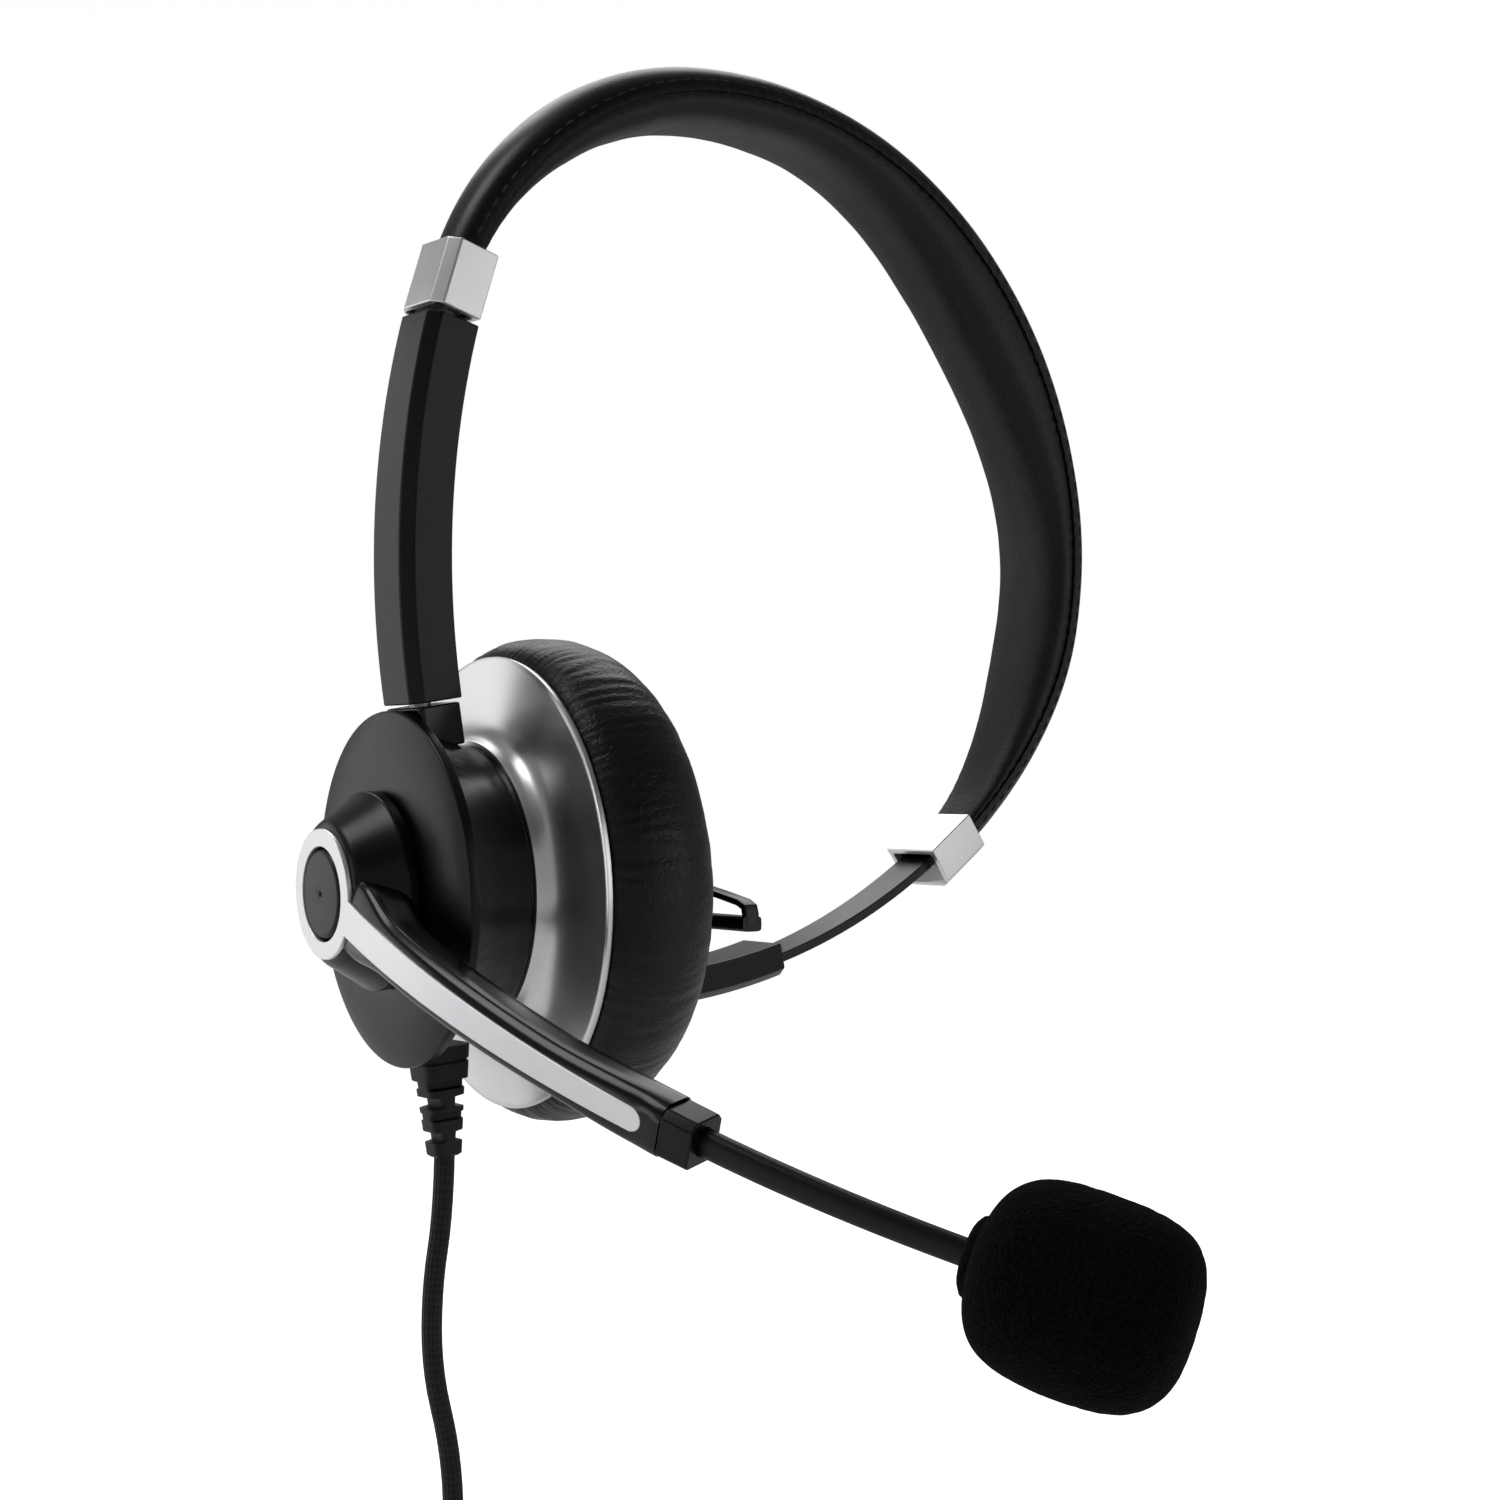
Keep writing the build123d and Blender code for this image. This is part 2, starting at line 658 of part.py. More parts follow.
# ---- strain relief under the housing ----
relief = Pos(0, 0, 2.9) * extrude(RectangleRounded(8.4, 7.6, 2.2), 3.2)
relief += Pos(0, 0, RELIEF_LONG / 2) * Cone(3.0, 2.1, RELIEF_LONG)
ring_pitch = (RELIEF_LONG - 7.2) / RELIEF_RINGS
for ring in range(RELIEF_RINGS):
    size = 7.4 - 0.45 * ring
    height = 7.2 + ring * ring_pitch
    relief += Pos(0, 0, height) * extrude(RectangleRounded(size, size - 0.4, 1.6), 1.3)
    rib = (size - 0.6, 2.4) if ring % 2 else (2.4, size - 0.6)
    relief += Pos(0, 0, height - 1.2) * extrude(Rectangle(*rib), 1.3)
relief = relief_plane.location * relief
nodes["strain_relief"] = relief - nodes["housing"] - nodes["disc_cover"] - inside

# ---- temple side: a blade that slides into the band, its sleeve and the tilting rest ----
end_point, end_tangent, end_inward = band_point(BAND_LENGTH)
temple_centre = end_point + end_inward * (TEMPLE_INSET + TEMPLE_RADIUS)
temple_angle = degrees(
    atan2(-end_inward.X, -end_inward.Z)
)
temple_mm = degrees(1 / TEMPLE_RADIUS)
blade_from = temple_angle - TEMPLE_BLADE_IN * temple_mm
sleeve_from = temple_angle + (COLLAR_LONG / 2 + TEMPLE_BARE) * temple_mm
sleeve_turn = SLEEVE_LONG * temple_mm
blade_to = sleeve_from + sleeve_turn * 0.7
for part in ("spine", "cover", "pad"):
    nodes[f"band_{part}_ear"] -= nodes["collar_ear"] + insert_ear
    nodes[f"band_{part}_temple"] -= nodes["collar_temple"] + insert_temple
temple_blade = ring_arc(
    temple_centre,
    section_at(temple_centre, TEMPLE_RADIUS, blade_from, blade_face),
    blade_to - blade_from,
)
nodes["temple_blade"] = temple_blade
channel_face = Rectangle(BLADE_WIDTH + 2 * BLADE_CLEAR, BLADE_THICK + 2 * BLADE_CLEAR)
channel_turn = (TEMPLE_BLADE_IN + TEMPLE_TRAVEL + 1.5 + COLLAR_LONG) * temple_mm
channel = ring_arc(
    temple_centre,
    section_at(
        temple_centre, TEMPLE_RADIUS, temple_angle + COLLAR_LONG * temple_mm, channel_face
    ),
    -channel_turn,
)
nodes["collar_insert_temple"] = insert_temple - channel
nodes["band_pad_temple"] -= channel
nodes["band_cover_temple"] -= channel
sleeve_face = faceted(SLEEVE_HIGH, SLEEVE_WIDE, SLEEVE_WIDE - 0.5, 1.2, SLEEVE_WIDE - 3.6)
sleeve = ring_arc(
    temple_centre,
    section_at(temple_centre, TEMPLE_RADIUS, sleeve_from, sleeve_face),
    sleeve_turn,
)
sleeve -= temple_blade
LUG_WIDE = 3.0
lug = Pos(PIVOT_X, 0, PIVOT_Z) * Rot(90, 0, 0) * Cylinder(1.9, LUG_WIDE)
lug += Pos(PIVOT_X, 0, PIVOT_Z - 3.6) * Box(3.8, LUG_WIDE, 7.2)
pivot_bore = Pos(PIVOT_X, 0, PIVOT_Z) * Rot(90, 0, 0) * Cylinder(PIVOT_R + RUNNING_FIT, 20)
nodes["temple_sleeve"] = sleeve + (lug - temple_blade) - pivot_bore
rivet_angle = sleeve_from + sleeve_turn * 0.3
rivet_place = Rot(0, rivet_angle, 0) * Pos(0, 0, TEMPLE_RADIUS)
rivet = Pos(temple_centre) * rivet_place * Cylinder(0.9, SLEEVE_HIGH)
nodes["sleeve_rivet"] = rivet
nodes["temple_sleeve"] -= rivet
nodes["temple_blade"] -= rivet


def yoke_side():
    """Yoke seen along X: a flat lower bar with struts that rise to the middle."""
    return Polyline(
        (-YOKE_HALF, YOKE_BOTTOM),
        (YOKE_HALF, YOKE_BOTTOM),
        (YOKE_HALF, YOKE_BOTTOM + YOKE_TIP_HIGH),
        (3.0, YOKE_BOTTOM + YOKE_MIDDLE_HIGH),
        (-3.0, YOKE_BOTTOM + YOKE_MIDDLE_HIGH),
        (-YOKE_HALF, YOKE_BOTTOM + YOKE_TIP_HIGH),
        close=True,
    )


yoke_plane = Plane(origin=(YOKE_X[0], 0, 0), x_dir=(0, 1, 0), z_dir=(1, 0, 0))
yoke_deep = YOKE_X[1] - YOKE_X[0]
yoke = extrude(yoke_plane * make_face(yoke_side()), yoke_deep)
slope = (YOKE_MIDDLE_HIGH - YOKE_TIP_HIGH) / (YOKE_HALF - 3.0)
WINDOW_INNER = 4.4
window_low = YOKE_BOTTOM + YOKE_BAR
window_high = YOKE_BOTTOM + YOKE_MIDDLE_HIGH - YOKE_STRUT
window_tip = 3.0 + (window_high - window_low) / slope
for side in (-1, 1):
    window = make_face(
        Polyline(
            (side * WINDOW_INNER, window_low),
            (side * window_tip, window_low),
            (side * WINDOW_INNER, window_high - slope * (WINDOW_INNER - 3.0)),
            close=True,
        )
    )
    yoke -= extrude(yoke_plane * window, yoke_deep)
    recess = Pos(side * 12.5, YOKE_BOTTOM + YOKE_BAR / 2) * Rectangle(8.0, YOKE_BAR - 0.9)
    yoke -= extrude(yoke_plane.offset(yoke_deep - 1.2) * recess, 1.2)
lug_slot = Box(yoke_deep + 2, LUG_WIDE + 0.8, 5.4)
yoke -= Pos((YOKE_X[0] + YOKE_X[1]) / 2, 0, YOKE_BOTTOM + 1.5) * lug_slot
pivot_pin = Pos(PIVOT_X, 0, PIVOT_Z) * Rot(90, 0, 0) * Cylinder(PIVOT_R, 9.0)
nodes["temple_yoke"] = yoke - pivot_pin
nodes["temple_pin"] = pivot_pin
plate_plane = Plane(origin=(REST_PLATE_X[0], 0, 0), x_dir=(0, 1, 0), z_dir=(1, 0, 0))
pad_middle = (REST_PAD_Z[0] + REST_PAD_Z[1]) / 2
pad_high = REST_PAD_Z[1] - REST_PAD_Z[0]
plate = plate_plane * Pos(0, pad_middle) * RectangleRounded(REST_PAD_WIDE - 2, pad_high - 2, 4.5)
nodes["temple_plate"] = extrude(plate, REST_PLATE_X[1] - REST_PLATE_X[0])
pad_plane = Plane(origin=(REST_PAD_X[0], 0, 0), x_dir=(0, 1, 0), z_dir=(1, 0, 0))
pad_face = pad_plane * Pos(0, pad_middle) * RectangleRounded(REST_PAD_WIDE, pad_high, 5.5)
pad = extrude(pad_face, REST_PAD_X[1] - REST_PAD_X[0])
nodes["temple_pad"] = fillet(pad.faces().sort_by(Axis.X)[0].edges(), 1.8)

# ---- cord, coil and jack plug ----
coil_axis = Axis(COIL_CENTRE, (0, 1, 0))
coil_section = Plane(
    origin=Vector(*COIL_CENTRE) + Vector(COIL_R, 0, 0), x_dir=(1, 0, 0), z_dir=(0, 0, 1)
) * Ellipse(COIL_HIGH / 2, COIL_DEEP / 2)
coil = revolve(coil_section, coil_axis)
nodes["cord_coil"] = coil
tie_place = Pos(COIL_CENTRE[0], 0, COIL_CENTRE[2] + COIL_R)
nodes["coil_tie"] = tie_place * extrude(
    Plane.YZ * RectangleRounded(COIL_DEEP + 2.0, COIL_HIGH + 2.0, 4.0), 2.2, both=True
) - coil


def cord_tube(route, name):
    points = [Vector(x, 0, z) for x, z in route]
    path, radii = tube_path(points)
    print(name, "radii", [round(radius, 1) for radius in radii])
    start = Plane(origin=points[0], z_dir=points[1] - points[0])
    solid = sweep(start * Circle(CORD_D / 2), path=path)
    expected = path.length * pi * CORD_D**2 / 4
    print(name, "length", round(path.length, 1), "volume", round(solid.volume / expected, 4))
    return solid


nodes["cord"] = cord_tube(CORD_ROUTE, "cord") - coil - nodes["strain_relief"]
nodes["cord_tail"] = cord_tube(TAIL_ROUTE, "cord_tail") - coil
tail_end = Vector(TAIL_ROUTE[-1][0], 0, TAIL_ROUTE[-1][1])
plug = Plane(origin=tail_end, x_dir=(1, 0, 0), z_dir=(0, 0, -1)).location
BODY_TO = PLUG_RELIEF_LONG + PLUG_BODY_LONG
nodes["plug_relief"] = plug * lathe(
    [(0, 0), (1.9, 0), (2.9, PLUG_RELIEF_LONG), (0, PLUG_RELIEF_LONG)]
)
nodes["plug_body"] = plug * lathe(
    [
        (0, PLUG_RELIEF_LONG),
        (3.3, PLUG_RELIEF_LONG),
        (PLUG_BODY_R, PLUG_RELIEF_LONG + 1.6),
        (PLUG_BODY_R, BODY_TO - 1.2),
        (3.2, BODY_TO),
        (0, BODY_TO),
    ]
)
nodes["jack_pin"] = plug * lathe(
    [
        (0, BODY_TO),
        (JACK_R, BODY_TO),
        (JACK_R, BODY_TO + 10.4),
        (1.35, BODY_TO + 11.2),
        (1.75, BODY_TO + 12.4),
        (0.5, BODY_TO + JACK_LONG),
        (0, BODY_TO + JACK_LONG),
    ]
)

os.makedirs("parts", exist_ok=True)
for name, shape in nodes.items():
    export_step(shape, f"parts/{name}.step")
print(len(nodes), "nodes, band length", round(BAND_LENGTH, 1))
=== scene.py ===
"""Finished look of a one-ear office headset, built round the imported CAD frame.

Lengths are written in millimetres and turned into metres by mm(). Z is up, -Y is the way
the wearer faces, and the ear cup is on -X.
"""

import math

import bmesh
import bpy
import numpy as np
from mathutils import Matrix, Vector, noise


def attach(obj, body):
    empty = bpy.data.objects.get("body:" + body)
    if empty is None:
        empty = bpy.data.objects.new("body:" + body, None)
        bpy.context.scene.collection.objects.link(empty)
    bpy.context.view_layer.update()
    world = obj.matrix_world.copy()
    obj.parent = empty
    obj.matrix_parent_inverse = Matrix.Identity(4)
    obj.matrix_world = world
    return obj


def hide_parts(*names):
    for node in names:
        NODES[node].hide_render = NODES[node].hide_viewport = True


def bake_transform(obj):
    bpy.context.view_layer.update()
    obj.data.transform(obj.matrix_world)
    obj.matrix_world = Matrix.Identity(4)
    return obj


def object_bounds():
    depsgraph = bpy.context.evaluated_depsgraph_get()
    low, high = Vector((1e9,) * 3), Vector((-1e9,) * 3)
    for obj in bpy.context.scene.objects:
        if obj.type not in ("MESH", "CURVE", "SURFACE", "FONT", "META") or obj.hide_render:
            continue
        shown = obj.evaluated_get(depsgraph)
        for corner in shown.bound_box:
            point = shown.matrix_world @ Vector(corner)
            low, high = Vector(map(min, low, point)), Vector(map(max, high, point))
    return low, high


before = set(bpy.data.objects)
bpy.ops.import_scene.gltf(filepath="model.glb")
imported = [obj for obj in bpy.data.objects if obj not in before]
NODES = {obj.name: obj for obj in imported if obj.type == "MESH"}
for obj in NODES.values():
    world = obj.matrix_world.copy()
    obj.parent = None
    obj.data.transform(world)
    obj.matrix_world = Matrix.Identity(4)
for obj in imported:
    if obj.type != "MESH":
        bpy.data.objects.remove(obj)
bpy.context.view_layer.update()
MM = 0.001


def mm(*values):
    return Vector(values) * MM


# ---------------------------------------------------------------- camera
CAMERA_AT = mm(-187.35, -278.5, 14.06)
CAMERA_TURN = math.radians(-37.32)
CAMERA_TILT = math.radians(-0.61)
CAMERA_LENS = 57.3


def make_camera():
    back = Vector(
        (
            math.sin(CAMERA_TURN) * math.cos(CAMERA_TILT),
            -math.cos(CAMERA_TURN) * math.cos(CAMERA_TILT),
            math.sin(CAMERA_TILT),
        )
    )
    right = Vector((math.cos(CAMERA_TURN), math.sin(CAMERA_TURN), 0))
    up = back.cross(right)
    data = bpy.data.cameras.new("camera")
    data.lens = CAMERA_LENS
    data.sensor_width = 36
    data.clip_start = 0.01
    data.clip_end = 50
    camera = bpy.data.objects.new("camera", data)
    turn = Matrix((right, up, back)).transposed().to_4x4()
    camera.matrix_world = Matrix.Translation(CAMERA_AT) @ turn
    bpy.context.scene.collection.objects.link(camera)
    bpy.context.scene.camera = camera


make_camera()


# ---------------------------------------------------------------- mesh helpers
def add_mesh(name, verts, faces):
    """Smooth-shaded mesh object, linked to the scene."""
    mesh = bpy.data.meshes.new(name)
    mesh.from_pydata([tuple(v) for v in verts], [], faces)
    mesh.validate()
    mesh.polygons.foreach_set("use_smooth", [True] * len(mesh.polygons))
    mesh.update()
    obj = bpy.data.objects.new(name, mesh)
    bpy.context.scene.collection.objects.link(obj)
    return obj


def fix_normals(obj, sharp_deg=50):
    """Turn the faces outwards and mark edges sharper than sharp_deg."""
    bm = bmesh.new()
    bm.from_mesh(obj.data)
    bmesh.ops.recalc_face_normals(bm, faces=bm.faces)
    bm.to_mesh(obj.data)
    bm.free()
    obj.data.set_sharp_from_angle(angle=math.radians(sharp_deg))


def skin(name, rings, caps=True, loop=False, uv=None):
    """Join rings of points with quads. uv is (repeats round, repeats along) for a UV layer."""
    count = len(rings[0])
    verts = [p for ring in rings for p in ring]
    faces = []
    spans = len(rings) if loop else len(rings) - 1
    for i in range(spans):
        a = i * count
        b = ((i + 1) % len(rings)) * count
        for j in range(count):
            k = (j + 1) % count
            faces.append((a + j, a + k, b + k, b + j))
    if caps and not loop:
        faces.append(tuple(reversed(range(count))))
        faces.append(tuple(range((len(rings) - 1) * count, len(rings) * count)))
    obj = add_mesh(name, verts, faces)
    if uv:
        layer = obj.data.uv_layers.new(name="run")
        at = 0
        for i in range(spans):
            for j in range(count):
                for di, dj in ((0, 0), (0, 1), (1, 1), (1, 0)):
                    layer.data[at].uv = ((j + dj) * uv[0] / count, (i + di) * uv[1] / spans)
                    at += 1
    return obj


def ease(value):
    """Smooth step from 0 to 1."""
    value = min(1.0, max(0.0, value))
    return value * value * (3 - 2 * value)


def superellipse(angle, half_x, half_y, power):
    """Point of a rounded box outline. A higher power gives squarer corners."""
    c, s = math.cos(angle), math.sin(angle)
    x = half_x * math.copysign(abs(c) ** (2 / power), c)
    y = half_y * math.copysign(abs(s) ** (2 / power), s)
    return x, y


def add_modifier(obj, kind, **values):
    modifier = obj.modifiers.new(kind.lower(), kind)
    for key, value in values.items():
        setattr(modifier, key, value)
    return modifier


def lumps(point, scale, seed):
    """Smooth noise from -1 to 1 with features about scale metres across."""
    return noise.noise(Vector(point) / scale + Vector((seed, 2.3 * seed, -seed)))


def circle(count):
    """Even angles round a full turn."""
    return [2 * math.pi * j / count for j in range(count)]


# ---------------------------------------------------------------- frame geometry
BAND_START = (-26.0, 80.0)
BAND_LEAN = 17.7
BAND_ARCS = ((46.4, 64.6), (64.8, 85.6), (57.9, 65.7))
BAND_LENGTH = sum(radius * math.radians(turn) for radius, turn in BAND_ARCS)
BAND_MIDDLE = 106.5
CUP_CENTRE = mm(-8.0, -1.3, 0.0)
CUP_AXIS = Vector((-0.99656, 0.07391, -0.03748)).normalized()
BOOM_DROP = math.radians(20.2)
BOOM_STRAIGHT = 10.0
BOOM_RADIUS = 165.0
BOOM_LEVEL = 33.2


def band_point(length):
    """Point, heading and head-side normal on the band's spine, in millimetres."""
    x, z = BAND_START
    heading = math.radians(BAND_LEAN)
    left = length
    for index, (radius, turn) in enumerate(BAND_ARCS):
        arc = radius * math.radians(turn)
        last = index == len(BAND_ARCS) - 1
        angle = (left if last else min(left, arc)) / radius
        cx = x + radius * math.cos(heading)
        cz = z - radius * math.sin(heading)
        heading += angle
        x = cx - radius * math.cos(heading)
        z = cz + radius * math.sin(heading)
        left -= arc
        if left <= 0:
            break
    point = Vector((x, 0, z))
    tangent = Vector((math.sin(heading), 0, math.cos(heading)))
    inward = Vector((math.cos(heading), 0, -math.sin(heading)))
    return point, tangent, inward


def cup_frame():
    """Cup axes: x forward, y up, z outward, as a matrix in metres."""
    z = CUP_AXIS
    x = (Vector((0, -1, 0)) - z * Vector((0, -1, 0)).dot(z)).normalized()
    y = z.cross(x)
    turn = Matrix((x, y, z)).transposed().to_4x4()
    return Matrix.Translation(CUP_CENTRE) @ turn


CUP = cup_frame()
BOOM = CUP @ Matrix.Rotation(-BOOM_DROP, 4, "Z")


def boom_matrix(length):
    """Section frame on the boom: x up, y outwards, z to the mouth; origin in millimetres."""
    angle = max(0.0, length - BOOM_STRAIGHT) / BOOM_RADIUS
    x = min(length, BOOM_STRAIGHT) + BOOM_RADIUS * math.sin(angle)
    z = BOOM_LEVEL - BOOM_RADIUS + BOOM_RADIUS * math.cos(angle)
    run = Vector((math.cos(angle), 0, -math.sin(angle)))
    up = Vector((0, 1, 0))
    out = run.cross(up)
    turn = Matrix((up, out, run)).transposed().to_4x4()
    return BOOM @ Matrix.Translation(mm(x, 0, z)) @ turn


# ---------------------------------------------------------------- materials
class Nodes:
    """Small helper to wire a procedural material."""

    def __init__(self, name):
        self.material = bpy.data.materials.new(name)
        self.material.use_nodes = True
        self.tree = self.material.node_tree
        self.shader = self.tree.nodes["Principled BSDF"]
        self.bump = None

    def add(self, kind, **values):
        node = self.tree.nodes.new("ShaderNode" + kind)
        for key, value in values.items():
            setattr(node, key, value)
        return node

    def link(self, source, target):
        self.tree.links.new(source, target)

    def place(self, scale=(1, 1, 1)):
        if not hasattr(self, "_place"):
            self._place = self.add("TexCoord")
        if scale == (1, 1, 1):
            return self._place.outputs["Object"]
        mapping = self.add("Mapping")
        mapping.inputs["Scale"].default_value = scale
        self.link(self._place.outputs["Object"], mapping.inputs["Vector"])
        return mapping.outputs["Vector"]

    def noise(self, scale, detail=4.0, rough=0.55, stretch=(1, 1, 1)):
        node = self.add("TexNoise")
        node.inputs["Scale"].default_value = scale
        node.inputs["Detail"].default_value = detail
        node.inputs["Roughness"].default_value = rough
        self.link(self.place(stretch), node.inputs["Vector"])
        return node.outputs["Fac"]

    def cells(self, size_mm, feature="F1", jitter=1.0):
        node = self.add("TexVoronoi", feature=feature)
        node.inputs["Scale"].default_value = 1 / (size_mm * MM)
        node.inputs["Randomness"].default_value = jitter
        self.link(self.place(), node.inputs["Vector"])
        return node.outputs["Distance"]

    def ramp(self, source, low, high, start=0.0, end=1.0):
        node = self.add("MapRange")
        node.inputs["From Min"].default_value = start
        node.inputs["From Max"].default_value = end
        node.inputs["To Min"].default_value = low
        node.inputs["To Max"].default_value = high
        self.link(source, node.inputs["Value"])
        return node.outputs["Result"]

    def colours(self, source, first, second, start=0.3, end=0.7):
        node = self.add("ValToRGB")
        node.color_ramp.elements[0].position = start
        node.color_ramp.elements[1].position = end
        node.color_ramp.elements[0].color = (*first, 1)
        node.color_ramp.elements[1].color = (*second, 1)
        self.link(source, node.inputs["Fac"])
        return node.outputs["Color"]

    def add_bump(self, height, distance_mm, strength=1.0):
        node = self.add("Bump")
        node.inputs["Strength"].default_value = strength
        node.inputs["Distance"].default_value = distance_mm * MM
        self.link(height, node.inputs["Height"])
        if self.bump:
            self.link(self.bump, node.inputs["Normal"])
        self.bump = node.outputs["Normal"]
        self.link(self.bump, self.shader.inputs["Normal"])

    def base(self, source, first, second, start=0.3, end=0.7):
        self.link(self.colours(source, first, second, start, end), self.shader.inputs["Base Color"])

    def rough(self, source, low, high):
        self.link(self.ramp(source, low, high), self.shader.inputs["Roughness"])

    def set(self, **values):
        for key, value in values.items():
            socket = self.shader.inputs[key.replace("_", " ")]
            socket.default_value = (*value, 1) if isinstance(value, tuple) else value


CREASE_CELL = 1.25


def leather(name, dark, light, rough, grain_mm, bump_mm, crease_mm, sheen):
    """Smooth leatherette: fine pebbled grain, faint colour drift and soft creases."""
    m = Nodes(name)
    m.base(m.noise(60, 3), dark, light)
    m.rough(m.noise(220, 5), rough - 0.07, rough + 0.1)
    m.add_bump(m.cells(grain_mm), bump_mm, 0.5)
    m.add_bump(m.noise(2600, 4, 0.6), bump_mm * 0.4, 0.4)
    if crease_mm:
        lines = m.cells(CREASE_CELL, "DISTANCE_TO_EDGE")
        m.add_bump(m.ramp(lines, 0, 1, 0.0, 0.09), crease_mm, 0.5)
    m.set(Specular_IOR_Level=0.3, Sheen_Weight=sheen, Sheen_Roughness=0.45)
    return m.material


def plastic(name, dark, light, rough, texture_mm, level, coat=0.0):
    """Moulded plastic: spark-eroded micro texture and slight roughness drift."""
    m = Nodes(name)
    m.base(m.noise(45, 3), dark, light)
    m.rough(m.noise(90, 5), rough - 0.05, rough + 0.07)
    m.add_bump(m.noise(5200, 3, 0.6), texture_mm, 0.5)
    m.add_bump(m.noise(120, 2), 0.05, 0.12)
    m.set(Specular_IOR_Level=level, Coat_Weight=coat, Coat_Roughness=0.12)
    return m.material


def metal(name, dark, light, rough, texture_mm=0.006, metallic=1.0, brushed=None):
    """Satin metal or metallic lacquer with flake-fine texture."""
    m = Nodes(name)
    m.base(m.noise(70, 4), dark, light)
    m.rough(m.noise(140, 4), rough - 0.04, rough + 0.06)
    m.add_bump(m.noise(7000, 2, 0.5), texture_mm, 0.4)
    if brushed:
        m.add_bump(m.noise(900, 3, 0.6, brushed), texture_mm * 1.6, 0.5)
    m.set(Metallic=metallic)
    return m.material


def foam(name):
    """Open-cell foam: fuzzy, almost black, with pores."""
    m = Nodes(name)
    m.base(m.cells(0.5), (0.0008, 0.0008, 0.001), (0.0045, 0.0045, 0.005), 0.1, 0.75)
    m.add_bump(m.cells(0.42), 0.25, 0.9)
    m.add_bump(m.noise(1500, 5, 0.7), 0.15, 0.7)
    m.set(Roughness=1.0, Specular_IOR_Level=0.04, Sheen_Weight=0.01, Sheen_Roughness=0.6)
    return m.material


def rubber(name, dark, light, rough, level=0.3):
    """Matt moulded rubber."""
    m = Nodes(name)
    m.base(m.noise(80, 4), dark, light)
    m.rough(m.noise(300, 4), rough - 0.06, rough + 0.08)
    m.add_bump(m.noise(4200, 4, 0.6), 0.02, 0.5)
    m.set(Specular_IOR_Level=level)
    return m.material


def braid(name):
    """Jacket of woven threads, laid out by the tube's own UVs."""
    m = Nodes(name)
    uv = m.add("UVMap", uv_map="run")
    split = m.add("SeparateXYZ")
    m.link(uv.outputs["UV"], split.inputs["Vector"])
    waves = []
    for sign in (1, -1):
        along = m.add("Math", operation="MULTIPLY")
        along.inputs[1].default_value = sign
        m.link(split.outputs["Y"], along.inputs[0])
        total = m.add("Math", operation="ADD")
        m.link(split.outputs["X"], total.inputs[0])
        m.link(along.outputs[0], total.inputs[1])
        turn = m.add("Math", operation="MULTIPLY")
        turn.inputs[1].default_value = 2 * math.pi
        m.link(total.outputs[0], turn.inputs[0])
        wave = m.add("Math", operation="SINE")
        m.link(turn.outputs[0], wave.inputs[0])
        waves.append(wave.outputs[0])
    weave = m.add("Math", operation="MULTIPLY")
    m.link(waves[0], weave.inputs[0])
    m.link(waves[1], weave.inputs[1])
    height = m.ramp(weave.outputs[0], 0, 1, -1, 1)
    m.base(height, (0.002, 0.002, 0.0025), (0.012, 0.012, 0.013), 0.2, 0.9)
    m.rough(m.noise(900, 3), 0.5, 0.68)
    m.add_bump(height, 0.16, 0.8)
    m.set(Specular_IOR_Level=0.3)
    return m.material


def mesh_cloth(name):
    """Thin acoustic fabric with a square weave."""
    m = Nodes(name)
    weave = m.cells(0.55, jitter=0.15)
    m.base(weave, (0.003, 0.003, 0.003), (0.02, 0.02, 0.021))
    m.add_bump(weave, 0.2, 0.9)
    m.set(Roughness=0.9, Specular_IOR_Level=0.15)
    return m.material


def board(name):
    """Green circuit board."""
    m = Nodes(name)
    patches = m.cells(1.6)
    m.base(patches, (0.01, 0.07, 0.03), (0.02, 0.14, 0.06))
    m.add_bump(patches, 0.06, 0.6)
    m.set(Roughness=0.35)
    return m.material


# leather: name, dark, light, roughness, grain, bump, crease depth, sheen
COVER_LEATHER = leather(
    "cover_leather", (0.0016, 0.0016, 0.0028), (0.0036, 0.0034, 0.005), 0.34, 0.42, 0.03, 0.0, 0.01
)
PAD_LEATHER = leather(
    "pad_leather", (0.0026, 0.0024, 0.0032), (0.0075, 0.0064, 0.0066), 0.44, 0.5, 0.05, 0.03, 0.03
)
CUSHION_LEATHER = leather(
    "cushion_leather", (0.0014, 0.0014, 0.0024), (0.0032, 0.003, 0.0044), 0.38, 0.5, 0.05, 0.055, 0.008
)
SILVER = metal("silver_lacquer", (0.70, 0.71, 0.72), (0.80, 0.80, 0.81), 0.30, 0.008, 0.85)
DISH_METAL = metal("dish_satin", (0.70, 0.69, 0.68), (0.78, 0.77, 0.76), 0.29, 0.006, 1.0)
TRIM_METAL = metal("trim_silver", (0.80, 0.81, 0.83), (0.88, 0.88, 0.90), 0.34, 0.006, 0.7)
BLACK = plastic("black_satin", (0.0012, 0.0012, 0.0018), (0.0028, 0.0028, 0.0034), 0.27, 0.010, 0.27)
DISC_BLACK = plastic("disc_black", (0.0018, 0.0016, 0.0018), (0.0036, 0.0032, 0.0034), 0.33, 0.012, 0.28)
GLOSS = plastic("black_gloss", (0.0008, 0.0008, 0.0012), (0.002, 0.002, 0.0026), 0.19, 0.006, 0.32, 0.12)
GREY_INSIDE = plastic("dark_inside", (0.02, 0.02, 0.021), (0.03, 0.03, 0.032), 0.5, 0.012, 0.4)
STEEL = metal("steel", (0.42, 0.42, 0.43), (0.55, 0.55, 0.56), 0.28, 0.004, 1.0, (1, 60, 1))
RUBBER = rubber("rubber_black", (0.0018, 0.0018, 0.0022), (0.0036, 0.0036, 0.004), 0.46)
